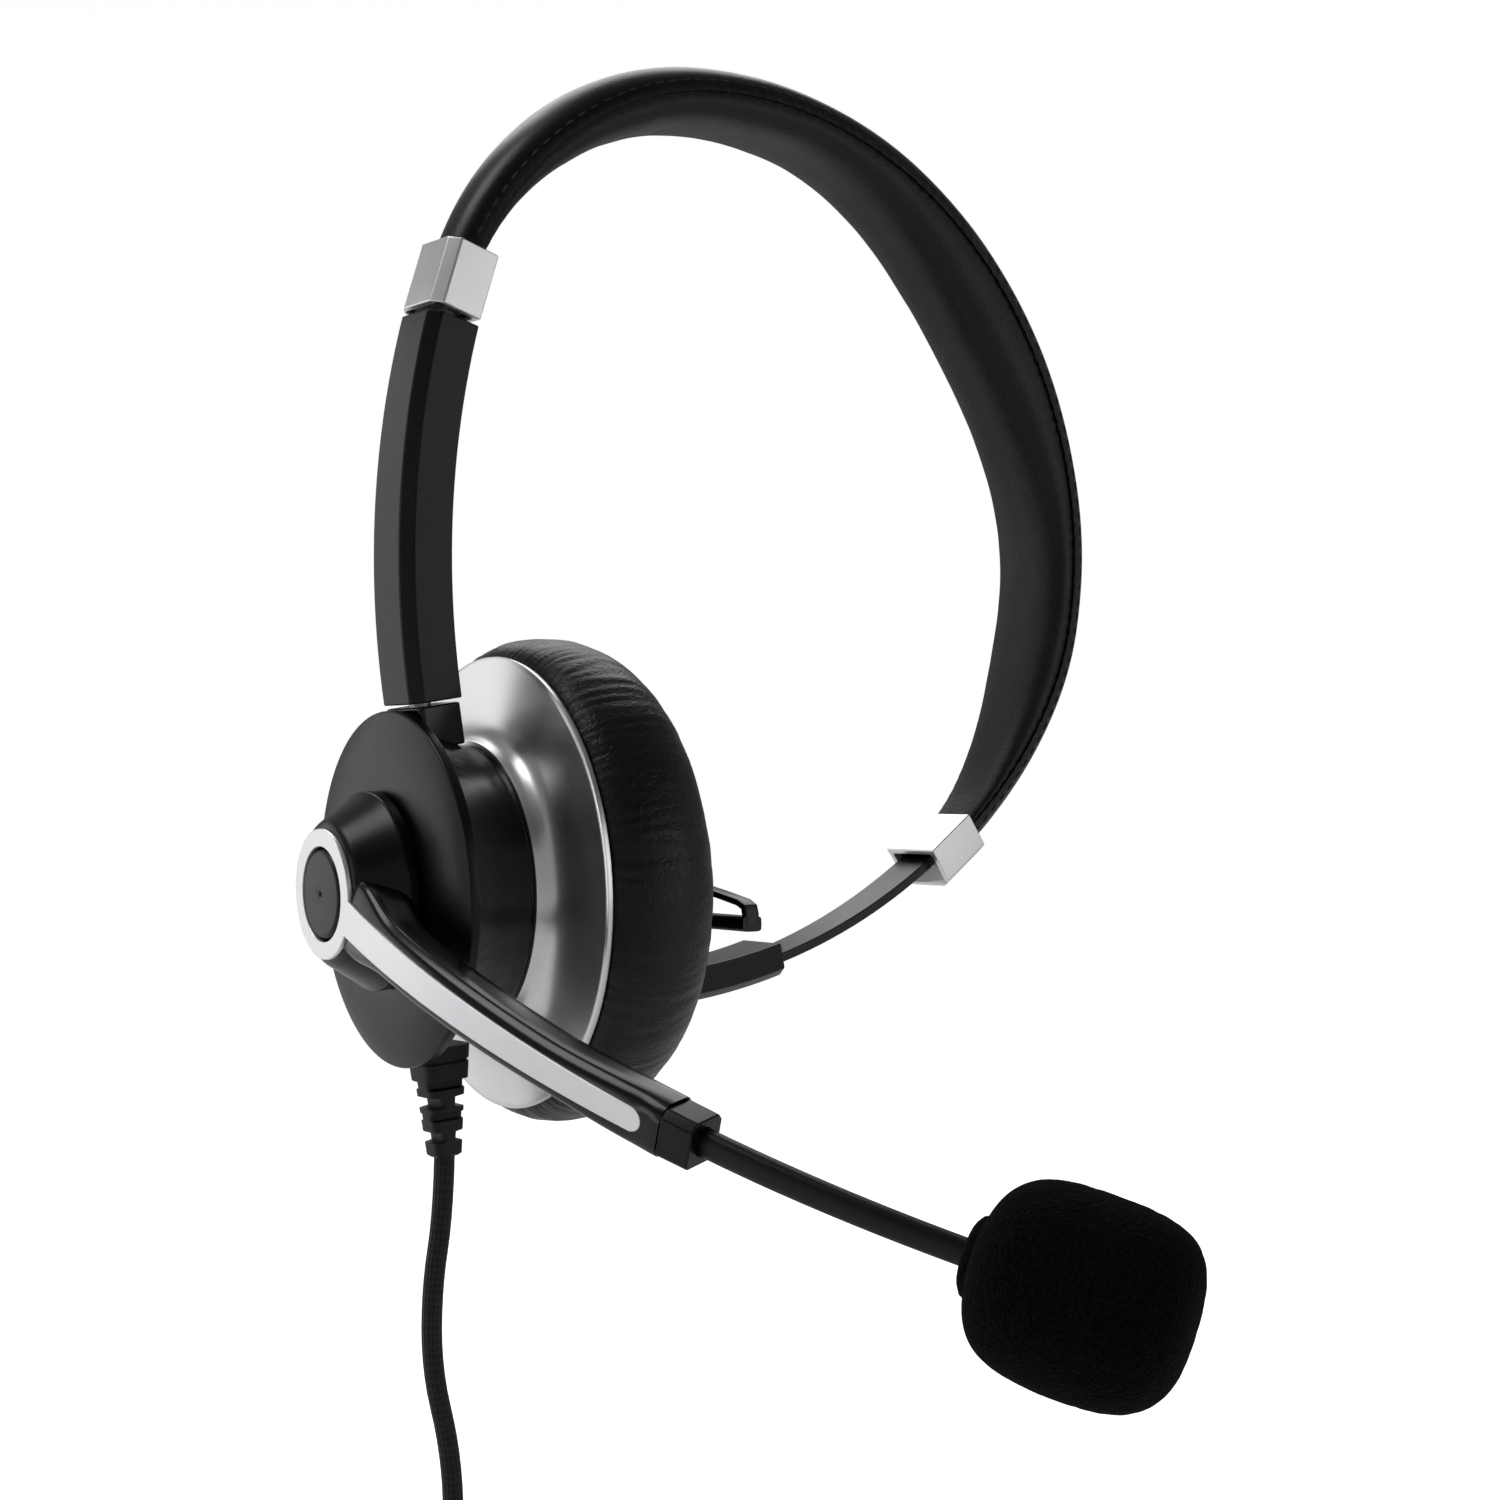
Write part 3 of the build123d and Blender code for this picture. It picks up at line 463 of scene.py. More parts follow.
FLEX_RUBBER = rubber("flex_rubber", (0.0016, 0.0016, 0.0024), (0.0034, 0.0034, 0.0042), 0.36, 0.28)
FOAM = foam("windscreen_foam")
BRAID = braid("cord_braid")
SCRIM = mesh_cloth("speaker_cloth")
BOARD = board("board_green")
MAGNET = metal("magnet_plated", (0.35, 0.35, 0.36), (0.45, 0.45, 0.46), 0.3)
GOLD = metal("contact_gold", (0.80, 0.60, 0.26), (0.88, 0.68, 0.32), 0.22, 0.003)
THREAD = rubber("thread", (0.012, 0.012, 0.014), (0.03, 0.029, 0.03), 0.6)


def paint(obj, material):
    obj.data.materials.clear()
    obj.data.materials.append(material)


def dress(obj, material, slot, body, *stood_for):
    """Material and body of a piece, and the CAD nodes that it stands for. The slot argument is not used."""
    paint(obj, material)
    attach(obj, body)
    if stood_for:
        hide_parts(*stood_for)


# ---------------------------------------------------------------- CAD pieces that are kept
# node: (material, rounding of its edges)
NODE_LOOKS = {
    "collar_ear": (SILVER, 0.22),
    "collar_temple": (SILVER, 0.22),
    "collar_insert_ear": (GREY_INSIDE, 0.1),
    "collar_insert_temple": (GREY_INSIDE, 0.1),
    "blade_ear": (STEEL, 0.15),
    "slider_arm": (BLACK, 0.25),
    "housing": (GLOSS, 0.3),
    "swivel_pin": (STEEL, 0.1),
    "circuit_board": (BOARD, 0.05),
    "terminal_block": (BLACK, 0.1),
    "housing_screws": (STEEL, 0.1),
    "speaker_plate": (GREY_INSIDE, 0.1),
    "speaker_basket": (GREY_INSIDE, 0.1),
    "speaker_magnet": (MAGNET, 0.2),
    "speaker_cone": (FOAM, 0.0),
    "boom_axle": (GREY_INSIDE, 0.1),
    "axle_bushing": (GREY_INSIDE, 0.1),
    "retaining_ring": (STEEL, 0.05),
    "hub_washer": (GREY_INSIDE, 0.05),
    "boom_trim": (TRIM_METAL, 0.12),
    "arm_end_cap": (BLACK, 0.25),
    "mic_holder": (BLACK, 0.2),
    "mic_capsule": (MAGNET, 0.2),
    "mic_grille": (GOLD, 0.1),
    "temple_blade": (BLACK, 0.2),
    "temple_sleeve": (BLACK, 0.25),
    "sleeve_rivet": (STEEL, 0.1),
    "temple_pin": (STEEL, 0.05),
    "temple_plate": (BLACK, 0.2),
    "band_spine_ear": (STEEL, 0.0),
    "band_spine_mid": (STEEL, 0.0),
    "band_spine_temple": (STEEL, 0.0),
    "coil_tie": (RUBBER, 0.5),
    "plug_relief": (RUBBER, 0.2),
    "plug_body": (RUBBER, 0.4),
    "jack_pin": (GOLD, 0.1),
}


def finish_node(name, material, edge_mm):
    """Soften a kept CAD piece's edges with modifiers, and give it its material."""
    obj = NODES[name]
    paint(obj, material)
    custom = obj.data.attributes.get("custom_normal")
    if custom:
        obj.data.attributes.remove(custom)
    obj.data.polygons.foreach_set("use_smooth", [True] * len(obj.data.polygons))
    add_modifier(obj, "WELD", merge_threshold=0.004 * MM)
    if edge_mm:
        add_modifier(obj, "DECIMATE", decimate_type="DISSOLVE", angle_limit=math.radians(0.6))
        add_modifier(
            obj,
            "BEVEL",
            width=edge_mm * MM,
            segments=3,
            limit_method="ANGLE",
            angle_limit=math.radians(32),
            use_clamp_overlap=False,
            loop_slide=True,
            miter_outer="MITER_ARC",
        )
    add_modifier(obj, "WEIGHTED_NORMAL", weight=60, keep_sharp=True)


for node_name, (node_material, node_edge) in NODE_LOOKS.items():
    finish_node(node_name, node_material, node_edge)


# ---------------------------------------------------------------- cord
CORD_D = 2.8
CORD_SIDES = 14
THREADS = 8
THREAD_PITCH = 1.1
COIL_CENTRE = (-11.8, -109.0)
COIL_LAYERS = (18.2, 15.4, 12.6)
COIL_COLUMNS = (-4.2, -1.4, 1.4, 4.2)
TURN_POINTS = 16
FIRST_CHANGE = 330
CHANGE_EARLIER = 27
CORD_ROUTE = (
    (-26.3, 0.0, -36.6),
    (-26.5, 0.0, -44.5),
    (-28.2, 0.0, -54.0),
    (-28.2, 0.0, -65.0),
    (-25.4, 0.0, -75.5),
    (-25.0, -0.6, -86.0),
    (-27.6, -2.2, -95.0),
    (-29.6, -3.9, -103.0),
)
TAIL_ROUTE = (
    (-29.9, 4.2, -115.0),
    (-28.6, 3.2, -124.0),
    (-25.2, 0.8, -132.0),
    (-24.5, 0.0, -137.5),
    (-24.5, 0.0, -141.0),
)


def coil_slots():
    """Places of the turns in the coil's section, each next to the one before."""
    slots = []
    for index, y in enumerate(COIL_COLUMNS):
        layers = COIL_LAYERS if index % 2 == 0 else tuple(reversed(COIL_LAYERS))
        slots += [(radius, y) for radius in layers]
    return slots


def coil_points():
    """Control points of the turns. Each turn moves to the next slot a little earlier."""
    slots = coil_slots()
    turns = len(slots) - 1
    widen = 2 / (1 + math.cos(2 * math.pi / TURN_POINTS))
    points = []
    for step in range(turns * TURN_POINTS + 1):
        turn = min(step // TURN_POINTS, turns - 1)
        done = step / TURN_POINTS - turn
        change_at = (FIRST_CHANGE - CHANGE_EARLIER * turn) / 360
        share = ease((done - change_at) * 6 + 0.5)
        r0, y0 = slots[turn]
        r1, y1 = slots[turn + 1]
        radius = (r0 + (r1 - r0) * share) * widen
        y = y0 + (y1 - y0) * share
        angle = math.pi + 2 * math.pi * step / TURN_POINTS
        x = COIL_CENTRE[0] + radius * math.cos(angle)
        z = COIL_CENTRE[1] + radius * math.sin(angle)
        points.append((x, y, z))
    return points


def route_line(points):
    """Read the line of a NURBS spline with these control points, in metres."""
    curve = bpy.data.curves.new("cord_route", "CURVE")
    curve.dimensions = "3D"
    curve.resolution_u = 5
    spline = curve.splines.new("NURBS")
    spline.points.add(len(points) - 1)
    for place, point in zip(spline.points, points):
        place.co = (*(mm(*point)), 1)
    spline.order_u = 3
    spline.use_endpoint_u = True
    obj = bpy.data.objects.new("cord_route", curve)
    bpy.context.scene.collection.objects.link(obj)
    bpy.context.view_layer.update()
    mesh = bpy.data.meshes.new_from_object(obj)
    line = [v.co.copy() for v in mesh.vertices]
    bpy.data.objects.remove(obj)
    return line


def tube_along(name, line, radius, sides, pitch_mm):
    """Mesh tube with a frame that doesn't twist; its UVs run round and along it."""
    length = sum((b - a).length for a, b in zip(line, line[1:]))
    side = Vector((0, 1, 0))
    rings = []
    for i, point in enumerate(line):
        ahead = line[min(i + 1, len(line) - 1)]
        behind = line[max(i - 1, 0)]
        run = (ahead - behind).normalized()
        side = (side - run * side.dot(run)).normalized()
        other = run.cross(side)
        ring = []
        for a in circle(sides):
            ring.append(point + (side * math.cos(a) + other * math.sin(a)) * radius)
        rings.append(ring)
    repeats = round(length / (pitch_mm * MM))
    return skin(name, rings, uv=(THREADS, repeats))


cord_line = route_line(list(CORD_ROUTE) + coil_points() + list(TAIL_ROUTE))
cord = tube_along("cord_braided", cord_line, CORD_D / 2 * MM, CORD_SIDES, THREAD_PITCH)
fix_normals(cord)
dress(cord, BRAID, "cord", "ear_cup", "cord", "cord_coil", "cord_tail")


# ---------------------------------------------------------------- headband
BAND_WIDTH_END = 8.6
BAND_WIDTH_MID = 15.0
BAND_TAPER = 42.0
COVER_THICK_END = 2.1
COVER_THICK_MID = 3.1
PAD_THICK_END = 2.1
PAD_THICK_MID = 5.0
PAD_BULGE = 4.6
PAD_BULGE_AT = 121.0
PAD_BULGE_REACH = 46.0
SPINE_TOP = 0.4
SEAM_LOW = -1.0
PUCKER_PER_MM = 2.9
COVER_POWER = 2.35
COVER_POINTS = 44
PAD_POWER = 3.4
PAD_POINTS = 56
UNDER_POINTS = 12
BAND_STEP = 0.55


def tapered(length, at_end, at_middle):
    """Size that grows from either end of the band to its middle."""
    end = min(length, BAND_LENGTH - length)
    return at_end + (at_middle - at_end) * ease(end / BAND_TAPER)


def band_width(length):
    return tapered(length, BAND_WIDTH_END, BAND_WIDTH_MID)


def cover_high(length):
    """Height of the cover's top above the seam."""
    return SPINE_TOP + tapered(length, COVER_THICK_END, COVER_THICK_MID) - SEAM_LOW


def pad_thick(length):
    bulge = PAD_BULGE * ease(1 - abs(length - PAD_BULGE_AT) / PAD_BULGE_REACH)
    return tapered(length, PAD_THICK_END, PAD_THICK_MID) + bulge


def band_place(length, across, outward):
    point, _, inward = band_point(length)
    return (point - inward * outward + Vector((0, across, 0))) * MM


def cover_ring(length):
    """Domed top sheet with a rolled edge that hangs over the seam."""
    half = band_width(length) / 2
    high = cover_high(length)
    pucker = 0.16 * math.sin(length * PUCKER_PER_MM) * math.sin(length * 0.37 + 0.6)
    ring = []
    for a in np.linspace(0, math.pi, COVER_POINTS):
        across, up = superellipse(a, half, high, COVER_POWER)
        roll = math.exp(-((up / 0.9) ** 2))
        side = math.copysign(1, across)
        across += side * roll * (0.12 + pucker * 0.6)
        outward = SEAM_LOW + up
        point = band_place(length, across, outward)
        swell = 0.10 * lumps(point, 0.014, 3.0) * ease(up / 1.5)
        ring.append(band_place(length, across, outward + swell))
    for j in range(1, UNDER_POINTS):
        across = -half + 2 * half * j / UNDER_POINTS
        hollow = 0.35 * math.sin(math.pi * j / UNDER_POINTS)
        ring.append(band_place(length, across * 0.97, SEAM_LOW + hollow))
    return ring


def pad_ring(length):
    """Foam pad under the cover: its sides bulge a little and its inner edges are round."""
    half = band_width(length) / 2 - 0.35
    deep = pad_thick(length) - 0.6
    top = SEAM_LOW + 0.3
    ring = []
    for a in np.linspace(0, math.pi, PAD_POINTS):
        across, down = superellipse(a, half, deep, PAD_POWER)
        bulge = 0.3 * math.sin(math.pi * min(1.0, down / max(deep, 0.1)))
        side = math.copysign(1, across)
        across += side * bulge
        near_seam = math.exp(-((down / 1.6) ** 2))
        pucker = 0.10 * math.sin(length * PUCKER_PER_MM + 1.0) * math.sin(length * 0.21)
        across += side * near_seam * pucker
        point = band_place(length, across, top - down)
        soft = 0.16 * lumps(point, 0.011, 7.0) + 0.05 * lumps(point, 0.0035, 9.0)
        ring.append(band_place(length, across, top - down + soft * ease(down / 1.5)))
    for j in range(1, UNDER_POINTS):
        across = -half + 2 * half * j / UNDER_POINTS
        ring.append(band_place(length, across, top))
    return ring


def band_skin(name, make_ring, start, end):
    count = int((end - start) / BAND_STEP)
    lengths = [start + (end - start) * i / count for i in range(count + 1)]
    obj = skin(name, [make_ring(length) for length in lengths])
    fix_normals(obj, 60)
    return obj


STITCH_PITCH = 2.3
STITCH_LONG = 1.5
STITCH_R = 0.16
STITCH_UP = 0.30
STITCH_ROWS = 5
STITCH_SIDES = 6


def stitch_rings(start, side):
    """Rings of one stitch, fatter in its middle."""
    rings = []
    for i in range(STITCH_ROWS):
        t = i / (STITCH_ROWS - 1)
        at = start + STITCH_LONG * t
        across, up = superellipse(STITCH_UP, band_width(at) / 2, cover_high(at), COVER_POWER)
        thin = STITCH_R * (0.35 + 0.65 * math.sin(math.pi * t))
        ring = []
        for a in circle(STITCH_SIDES):
            sideways = side * (across + 0.02 + thin * math.cos(a))
            ring.append(band_place(at, sideways, SEAM_LOW + up + thin * math.sin(a)))
        rings.append(ring)
    return rings


def stitch_row(name, start, end):
    """Short stitches just above the rolled edge, along both sides of the band."""
    verts, faces = [], []
    n = STITCH_SIDES
    for side in (-1, 1):
        length = start
        while length + STITCH_LONG < end:
            base = len(verts)
            for ring in stitch_rings(length, side):
                verts += ring
            for i in range(STITCH_ROWS - 1):
                for j in range(n):
                    k = (j + 1) % n
                    a = base + i * n
                    faces.append((a + j, a + k, a + n + k, a + n + j))
            faces.append(tuple(base + j for j in reversed(range(n))))
            faces.append(tuple(base + (STITCH_ROWS - 1) * n + j for j in range(n)))
            length += STITCH_PITCH
    obj = add_mesh(name, verts, faces)
    fix_normals(obj, 80)
    return obj


BAND_INSET = 2.3
# half: (start, end, first body, second body, where the bend starts and ends)
BAND_HALVES = {
    "ear": (BAND_INSET, BAND_MIDDLE, "ear_band", "headband", 34.0, 66.0),
    "temple": (BAND_MIDDLE, BAND_LENGTH - BAND_INSET, "headband", "temple_band", 147.0, 179.0),
}
BAND_PIECES = (
    ("band_cover", cover_ring, COVER_LEATHER),
    ("band_pad", pad_ring, PAD_LEATHER),
)
for half_name, (start, end, first, second, bend_from, bend_to) in BAND_HALVES.items():
    made = []
    for kind, make_ring, material in BAND_PIECES:
        piece = band_skin(f"{kind}_skin_{half_name}", make_ring, start, end)
        paint(piece, material)
        made.append(piece)
    stitches = stitch_row(f"band_stitches_{half_name}", start + 4, end - 1)
    paint(stitches, THREAD)
    made.append(stitches)
    for piece in made:
        tuple(band_place(bend_from, 0, 0))
        tuple(band_place(bend_to, 0, 0))
        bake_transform(piece)
    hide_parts(f"band_cover_{half_name}")
    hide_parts(f"band_pad_{half_name}")
    if half_name == "ear":
        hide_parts("band_cover_mid")
        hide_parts("band_pad_mid")


# ---------------------------------------------------------------- soft simulation
CLOTH_FRAMES = 20
PUFF_PRESSURE = 4.0
PUFF_MOST = 0.55


def puff(obj, pinned, pressure, cap_mm):
    """Inflate a skin with Blender's cloth, holding the pinned vertices, and keep the result."""
    scene = bpy.context.scene
    mesh = obj.data
    rest = np.array([v.co for v in mesh.vertices])
    group = obj.vertex_groups.new(name="held")
    group.add(pinned, 1.0, "REPLACE")
    cloth = obj.modifiers.new("cloth", "CLOTH")
    settings = cloth.settings
    settings.quality = 5
    settings.mass = 0.3
    settings.tension_stiffness = 15
    settings.compression_stiffness = 15
    settings.bending_stiffness = 0.5
    settings.use_pressure = True
    settings.uniform_pressure_force = pressure
    settings.vertex_group_mass = "held"
    settings.effector_weights.gravity = 0
    cloth.collision_settings.use_collision = False
    cloth.point_cache.frame_start = 1
    cloth.point_cache.frame_end = CLOTH_FRAMES
    for number in range(1, CLOTH_FRAMES + 1):
        scene.frame_set(number)
    depsgraph = bpy.context.evaluated_depsgraph_get()
    moved = np.array([v.co for v in obj.evaluated_get(depsgraph).data.vertices])
    obj.modifiers.remove(cloth)
    scene.frame_set(1)
    shift = moved - rest
    size = np.linalg.norm(shift, axis=1)
    factor = np.minimum(1.0, cap_mm * MM / np.maximum(size, 1e-9))
    final = rest + shift * factor[:, None]
    mesh.vertices.foreach_set("co", final.astype(np.float32).ravel())
    mesh.update()
    obj.vertex_groups.remove(group)


# ---------------------------------------------------------------- ear cushion
# (radius, height), from the hole round the face to the rim
CUSHION_PROFILE = (
    (14.4, 8.2),
    (14.4, 6.0),
    (14.6, 1.0),
    (15.3, -3.6),
    (17.0, -6.2),
    (19.8, -7.7),
    (23.6, -8.0),
    (26.8, -7.0),
    (29.6, -5.2),
    (31.6, -2.4),
    (32.7, 1.0),
    (32.8, 4.4),
    (32.2, 7.2),
    (31.2, 8.9),
    (30.2, 9.7),
    (29.2, 9.75),
    (28.7, 9.0),
    (28.7, 8.35),
)


PROFILE_STEPS = 16


def spline_value(a, b, c, d, t):
    """Catmull-Rom value between b and c."""
    square = (2 * a - 5 * b + 4 * c - d) * t * t
    cube = (3 * b - a - 3 * c + d) * t**3
    return 0.5 * (2 * b + (c - a) * t + square + cube)


def smooth_profile(points, count):
    """Even points on a smooth line through these, and each one's share of the line's length."""
    dense = []
    padded = [points[0], *points, points[-1]]
    for four in zip(padded, padded[1:], padded[2:], padded[3:]):
        for i in range(PROFILE_STEPS):
            dense.append(tuple(spline_value(*values, i / PROFILE_STEPS) for values in zip(*four)))
    dense.append(points[-1])
    dense = np.array(dense)
    run = np.concatenate([[0], np.cumsum(np.linalg.norm(np.diff(dense, axis=0), axis=1))])
    at = np.linspace(0, run[-1], count)
    return np.column_stack([np.interp(at, run, dense[:, k]) for k in range(2)]), at / run[-1]


def lathe(outline, sides, place=CUP):
    """Rings of an outline of (radius, height), turned about a frame's z axis."""
    rings = []
    for a in circle(sides):
        rings.append([place @ mm(r * math.cos(a), r * math.sin(a), h) for r, h in outline])
    return rings


AROUND = 420
SECTION = 64
PINNED_SHARE = 0.1
FINE_GATHERS = 150
BROAD_GATHERS = 118
profile, share = smooth_profile(CUSHION_PROFILE, SECTION)


def gather(angle, t):
    """Height of the gathers and creases, in mm, at an angle round and a share t of the profile."""
    rim = math.exp(-(((t - 0.93) / 0.10) ** 2))
    rim_far = math.exp(-(((t - 0.80) / 0.13) ** 2))
    hole = math.exp(-(((t - 0.15) / 0.10) ** 2))
    around = Vector((math.cos(angle), math.sin(angle), 0))
    warp = 1.3 * noise.noise(around * 5 + Vector((0, 0, t * 3)))
    fine = math.sin(angle * FINE_GATHERS + 7 * warp)
    broad = math.sin(angle * BROAD_GATHERS + 9 * warp + t * 9)
    patch = 0.55 + 0.45 * noise.noise(around * 4.2 + Vector((7, 0, 0)))
    long_creases = noise.noise(Vector((around.x * 44, around.y * 44, t * 6.5)))
    lows = noise.noise(Vector((around.x * 9, around.y * 9, t * 4.0)))
    return (
        0.13 * rim * fine * patch
        + 0.10 * rim_far * broad * patch
        + 0.10 * hole * broad
        + 0.07 * long_creases * ease((t - 0.45) * 4) * (0.6 + 0.8 * patch)
        + 0.12 * lows
    )


cushion = skin("ear_cushion_skin", lathe(profile, AROUND), loop=True)
fix_normals(cushion, 75)
held = []
for vertex in cushion.data.vertices:
    if not PINNED_SHARE <= share[vertex.index % SECTION] <= 1 - PINNED_SHARE:
        held.append(vertex.index)
puff(cushion, held, PUFF_PRESSURE, PUFF_MOST)
cushion_inverse = CUP.inverted()
gathered = []
for vertex in cushion.data.vertices:
    t = share[vertex.index % SECTION]
    local = cushion_inverse @ vertex.co
    angle = math.atan2(local.y, local.x)
    hold = ease((1 - t) / 0.03) * ease(t / 0.05)
    gathered.extend(vertex.co + vertex.normal * gather(angle, t) * hold * MM)
cushion.data.vertices.foreach_set("co", gathered)
cushion.data.update()
dress(cushion, CUSHION_LEATHER, "leather", "ear_cup", "ear_cushion")


# ---------------------------------------------------------------- turned pieces
CORNER_STEPS = 6
TURNED_SIDES = 224


def rounded(points):
    """Round each corner of a closed outline of (radius, height, corner size)."""
    out = []
    for i, (r, h, size) in enumerate(points):
        here = Vector((r, h))
        if not size:
            out.append((r, h))
            continue
        before = Vector(points[i - 1][:2])
        after = Vector(points[(i + 1) % len(points)][:2])
        one = here + (before - here).normalized() * size
        two = here + (after - here).normalized() * size
        for k in range(CORNER_STEPS + 1):
            t = k / CORNER_STEPS
            p = one * (1 - t) ** 2 + here * 2 * t * (1 - t) + two * t * t
            out.append((p.x, p.y))
    return out


def turned(name, outline, material, slot, body, stood_for, place=CUP):
    """Closed ring turned about a frame's z axis from an outline in millimetres."""
    obj = skin(name, lathe(outline, TURNED_SIDES, place), loop=True)
    fix_normals(obj, 40)
    dress(obj, material, slot, body, stood_for)


DISH_OUTER = (
    (19.35, 14.62),
    (19.75, 13.6),
    (20.6, 12.55),
    (22.3, 11.65),
    (24.8, 11.15),
    (27.6, 10.9),
    (29.9, 10.78),
)
DISH_NECK = ((6.0, 14.1), (18.72, 14.1), (18.72, 14.7), (19.3, 14.72))
DISH_RIM = ((30.2, 10.76), (30.48, 10.6), (30.5, 10.3), (30.4, 9.9), (30.1, 9.8))
DISH_INNER = ((23.3, 9.8), (19.9, 10.6), (18.5, 12.9), (6.0, 12.9))
dish_line, _ = smooth_profile(DISH_OUTER, 48)
dish_outline = [*DISH_NECK, *map(tuple, dish_line), *DISH_RIM, *DISH_INNER]
turned("dish_turned", dish_outline, DISH_METAL, "silver", "ear_cup", "dish")

cover_outline = rounded(
    [
        (4.0, 25.9, 0),
        (4.0, 27.6, 0),
        (14.0, 27.6, 1.0),
        (18.5, 27.25, 1.5),
        (21.4, 26.75, 1.0),
        (23.55, 26.1, 0.35),
        (23.58, 24.85, 0.12),
        (22.25, 24.5, 0.1),
        (20.0, 24.5, 0),
        (20.0, 25.9, 0),
    ]
)
turned("disc_cover_turned", cover_outline, DISC_BLACK, "black_plastic", "ear_cup", "disc_cover")

hub_outline = rounded(
    [
        (4.05, 28.2, 0),
        (13.1, 28.2, 0.15),
        (13.1, 29.6, 0.3),
        (12.5, 30.3, 0.5),
        (10.6, 33.2, 1.4),
        (9.4, 35.0, 0.7),
        (8.7, 35.32, 0.2),
        (6.2, 35.3, 0.1),
        (6.2, 33.2, 0),
        (4.05, 33.2, 0),
    ]
)
turned("boom_hub_turned", hub_outline, BLACK, "black_plastic", "boom", "boom_hub", BOOM)

cap_outline = rounded(
    [
        (0.05, 34.7, 0),
        (0.05, 35.85, 0),
        (0.28, 35.9, 0),
        (0.42, 36.12, 0.1),
        (1.4, 36.2, 0.3),
        (5.5, 36.1, 0.35),
        (5.85, 35.6, 0.2),
        (5.85, 34.7, 0),
    ]
)
turned("hub_cap_turned", cap_outline, DISC_BLACK, "black_gloss", "ear_cup", "hub_cap")


# ---------------------------------------------------------------- boom arm
ARM_START = 5.0
ARM_END = 69.8
ARM_CAP_END = 74.2
ARM_STEPS = 130
ARM_POINTS = 72
ARM_ROOT_WIDE = 7.6
ARM_NARROWING = 2.4
ARM_DEEP = 2.7
CORNER_START = 1.45


def arm_ring(length):
    """Rounded box section that is wider and deeper by the hub, and flares again at its end."""
    root = 1 - ease((length - 9.0) / 13.0)
    half = (ARM_ROOT_WIDE - ARM_NARROWING * length / ARM_CAP_END) / 2
    half += 1.5 * root * root + 0.5 * ease((length - 50.0) / 19.0)
    deep_out = ARM_DEEP - 0.25 * root + 0.2 * ease((length - 66.2) / 3.4)
    deep_in = ARM_DEEP + 2.0 * root
    place = boom_matrix(length)
    ring = []
    for a in circle(ARM_POINTS):
        up, out = superellipse(a, half, 1.0, 5.5)
        out *= deep_out if out > 0 else deep_in
        bevel = 0.9 * max(0.0, up / half + out / deep_out - CORNER_START)
        ring.append(place @ mm(up - bevel, out - bevel, 0))
    return ring


arm_long = ARM_END - ARM_START
arm_rings = [arm_ring(ARM_START + arm_long * i / ARM_STEPS) for i in range(ARM_STEPS + 1)]
arm = skin("boom_arm_body", arm_rings)
fix_normals(arm, 50)
dress(arm, GLOSS, "black_gloss", "boom", "boom_arm")


# ---------------------------------------------------------------- strain relief
RELIEF_TOP = Vector((-27.6, 0.0, -18.4))
RELIEF_BOTTOM = Vector((-26.3, 0.0, -36.6))
RELIEF_LONG = (RELIEF_BOTTOM - RELIEF_TOP).length
RELIEF_START = 3.4
RELIEF_STEP_AT = 8.0
RELIEF_HALF = 3.85
RELIEF_NARROWING = 1.5
RELIEF_STEPS = 210
# cuts: (start, end, depth) down the relief
SIDE_NOTCHES = ((10.2, 11.6, 1.5), (14.9, 16.2, 1.15))
FRONT_GROOVES = ((8.0, 9.1, 0.75), (12.4, 13.3, 0.65))
SLITS = ((5.3, 5.6, 0.2),)


def cut_depth(at, cuts, ramp=0.16):
    """How far a side is cut in at a distance down the relief."""
    depth = 0.0
    for start, end, deep in cuts:
        inside = min(ease((at - start) / ramp + 0.5), ease((end - at) / ramp + 0.5))
        depth = max(depth, deep * inside)
    return depth


def relief_ring(at):
    """Rounded square section with its cuts, and a small round at the end."""
    run = (RELIEF_BOTTOM - RELIEF_TOP).normalized()
    side = Vector((run.z, 0, -run.x)) * -1
    share = at / RELIEF_LONG
    half = RELIEF_HALF - RELIEF_NARROWING * share - (0.35 if at > RELIEF_STEP_AT else 0.0)
    half_x = half - cut_depth(at, SIDE_NOTCHES) - cut_depth(at, SLITS)
    half_y = half - 0.25 - cut_depth(at, FRONT_GROOVES) - cut_depth(at, SLITS)
    end = 0.3 * ease((at - RELIEF_LONG + 0.3) / 0.3)
    middle = RELIEF_TOP + run * at
    ring = []
    for a in circle(56):
        u, v = superellipse(a, half_x - end, half_y - end, 5)
        ring.append((middle + side * u + Vector((0, v, 0))) * MM)
    return ring


relief_long = RELIEF_LONG - RELIEF_START
relief_rings = [relief_ring(RELIEF_START + relief_long * i / RELIEF_STEPS) for i in range(RELIEF_STEPS + 1)]
relief = skin("strain_relief_notched", relief_rings)
fix_normals(relief, 35)
dress(relief, RUBBER, "rubber", "ear_cup", "strain_relief")


# ---------------------------------------------------------------- temple yoke
YOKE_X = 11.3
YOKE_TIP = 18.0
YOKE_FOOT_Z = -6.3
BAR_POINTS = 20


def bar(points, half_x, half_side):
    """Rings of a rounded bar whose middle line runs through (y, z) points of the yoke's plane."""
    rings = []
    line = [Vector((YOKE_X, y, z)) for y, z in points]
    for i, point in enumerate(line):
        run = (line[min(i + 1, len(line) - 1)] - line[max(i - 1, 0)]).normalized()
        side = Vector((0, -run.z, run.y))
        ring = []
        for a in circle(BAR_POINTS):
            u, v = superellipse(a, half_x, half_side, 5)
            ring.append((point + Vector((u, 0, 0)) + side * v) * MM)
        rings.append(ring)
    return rings


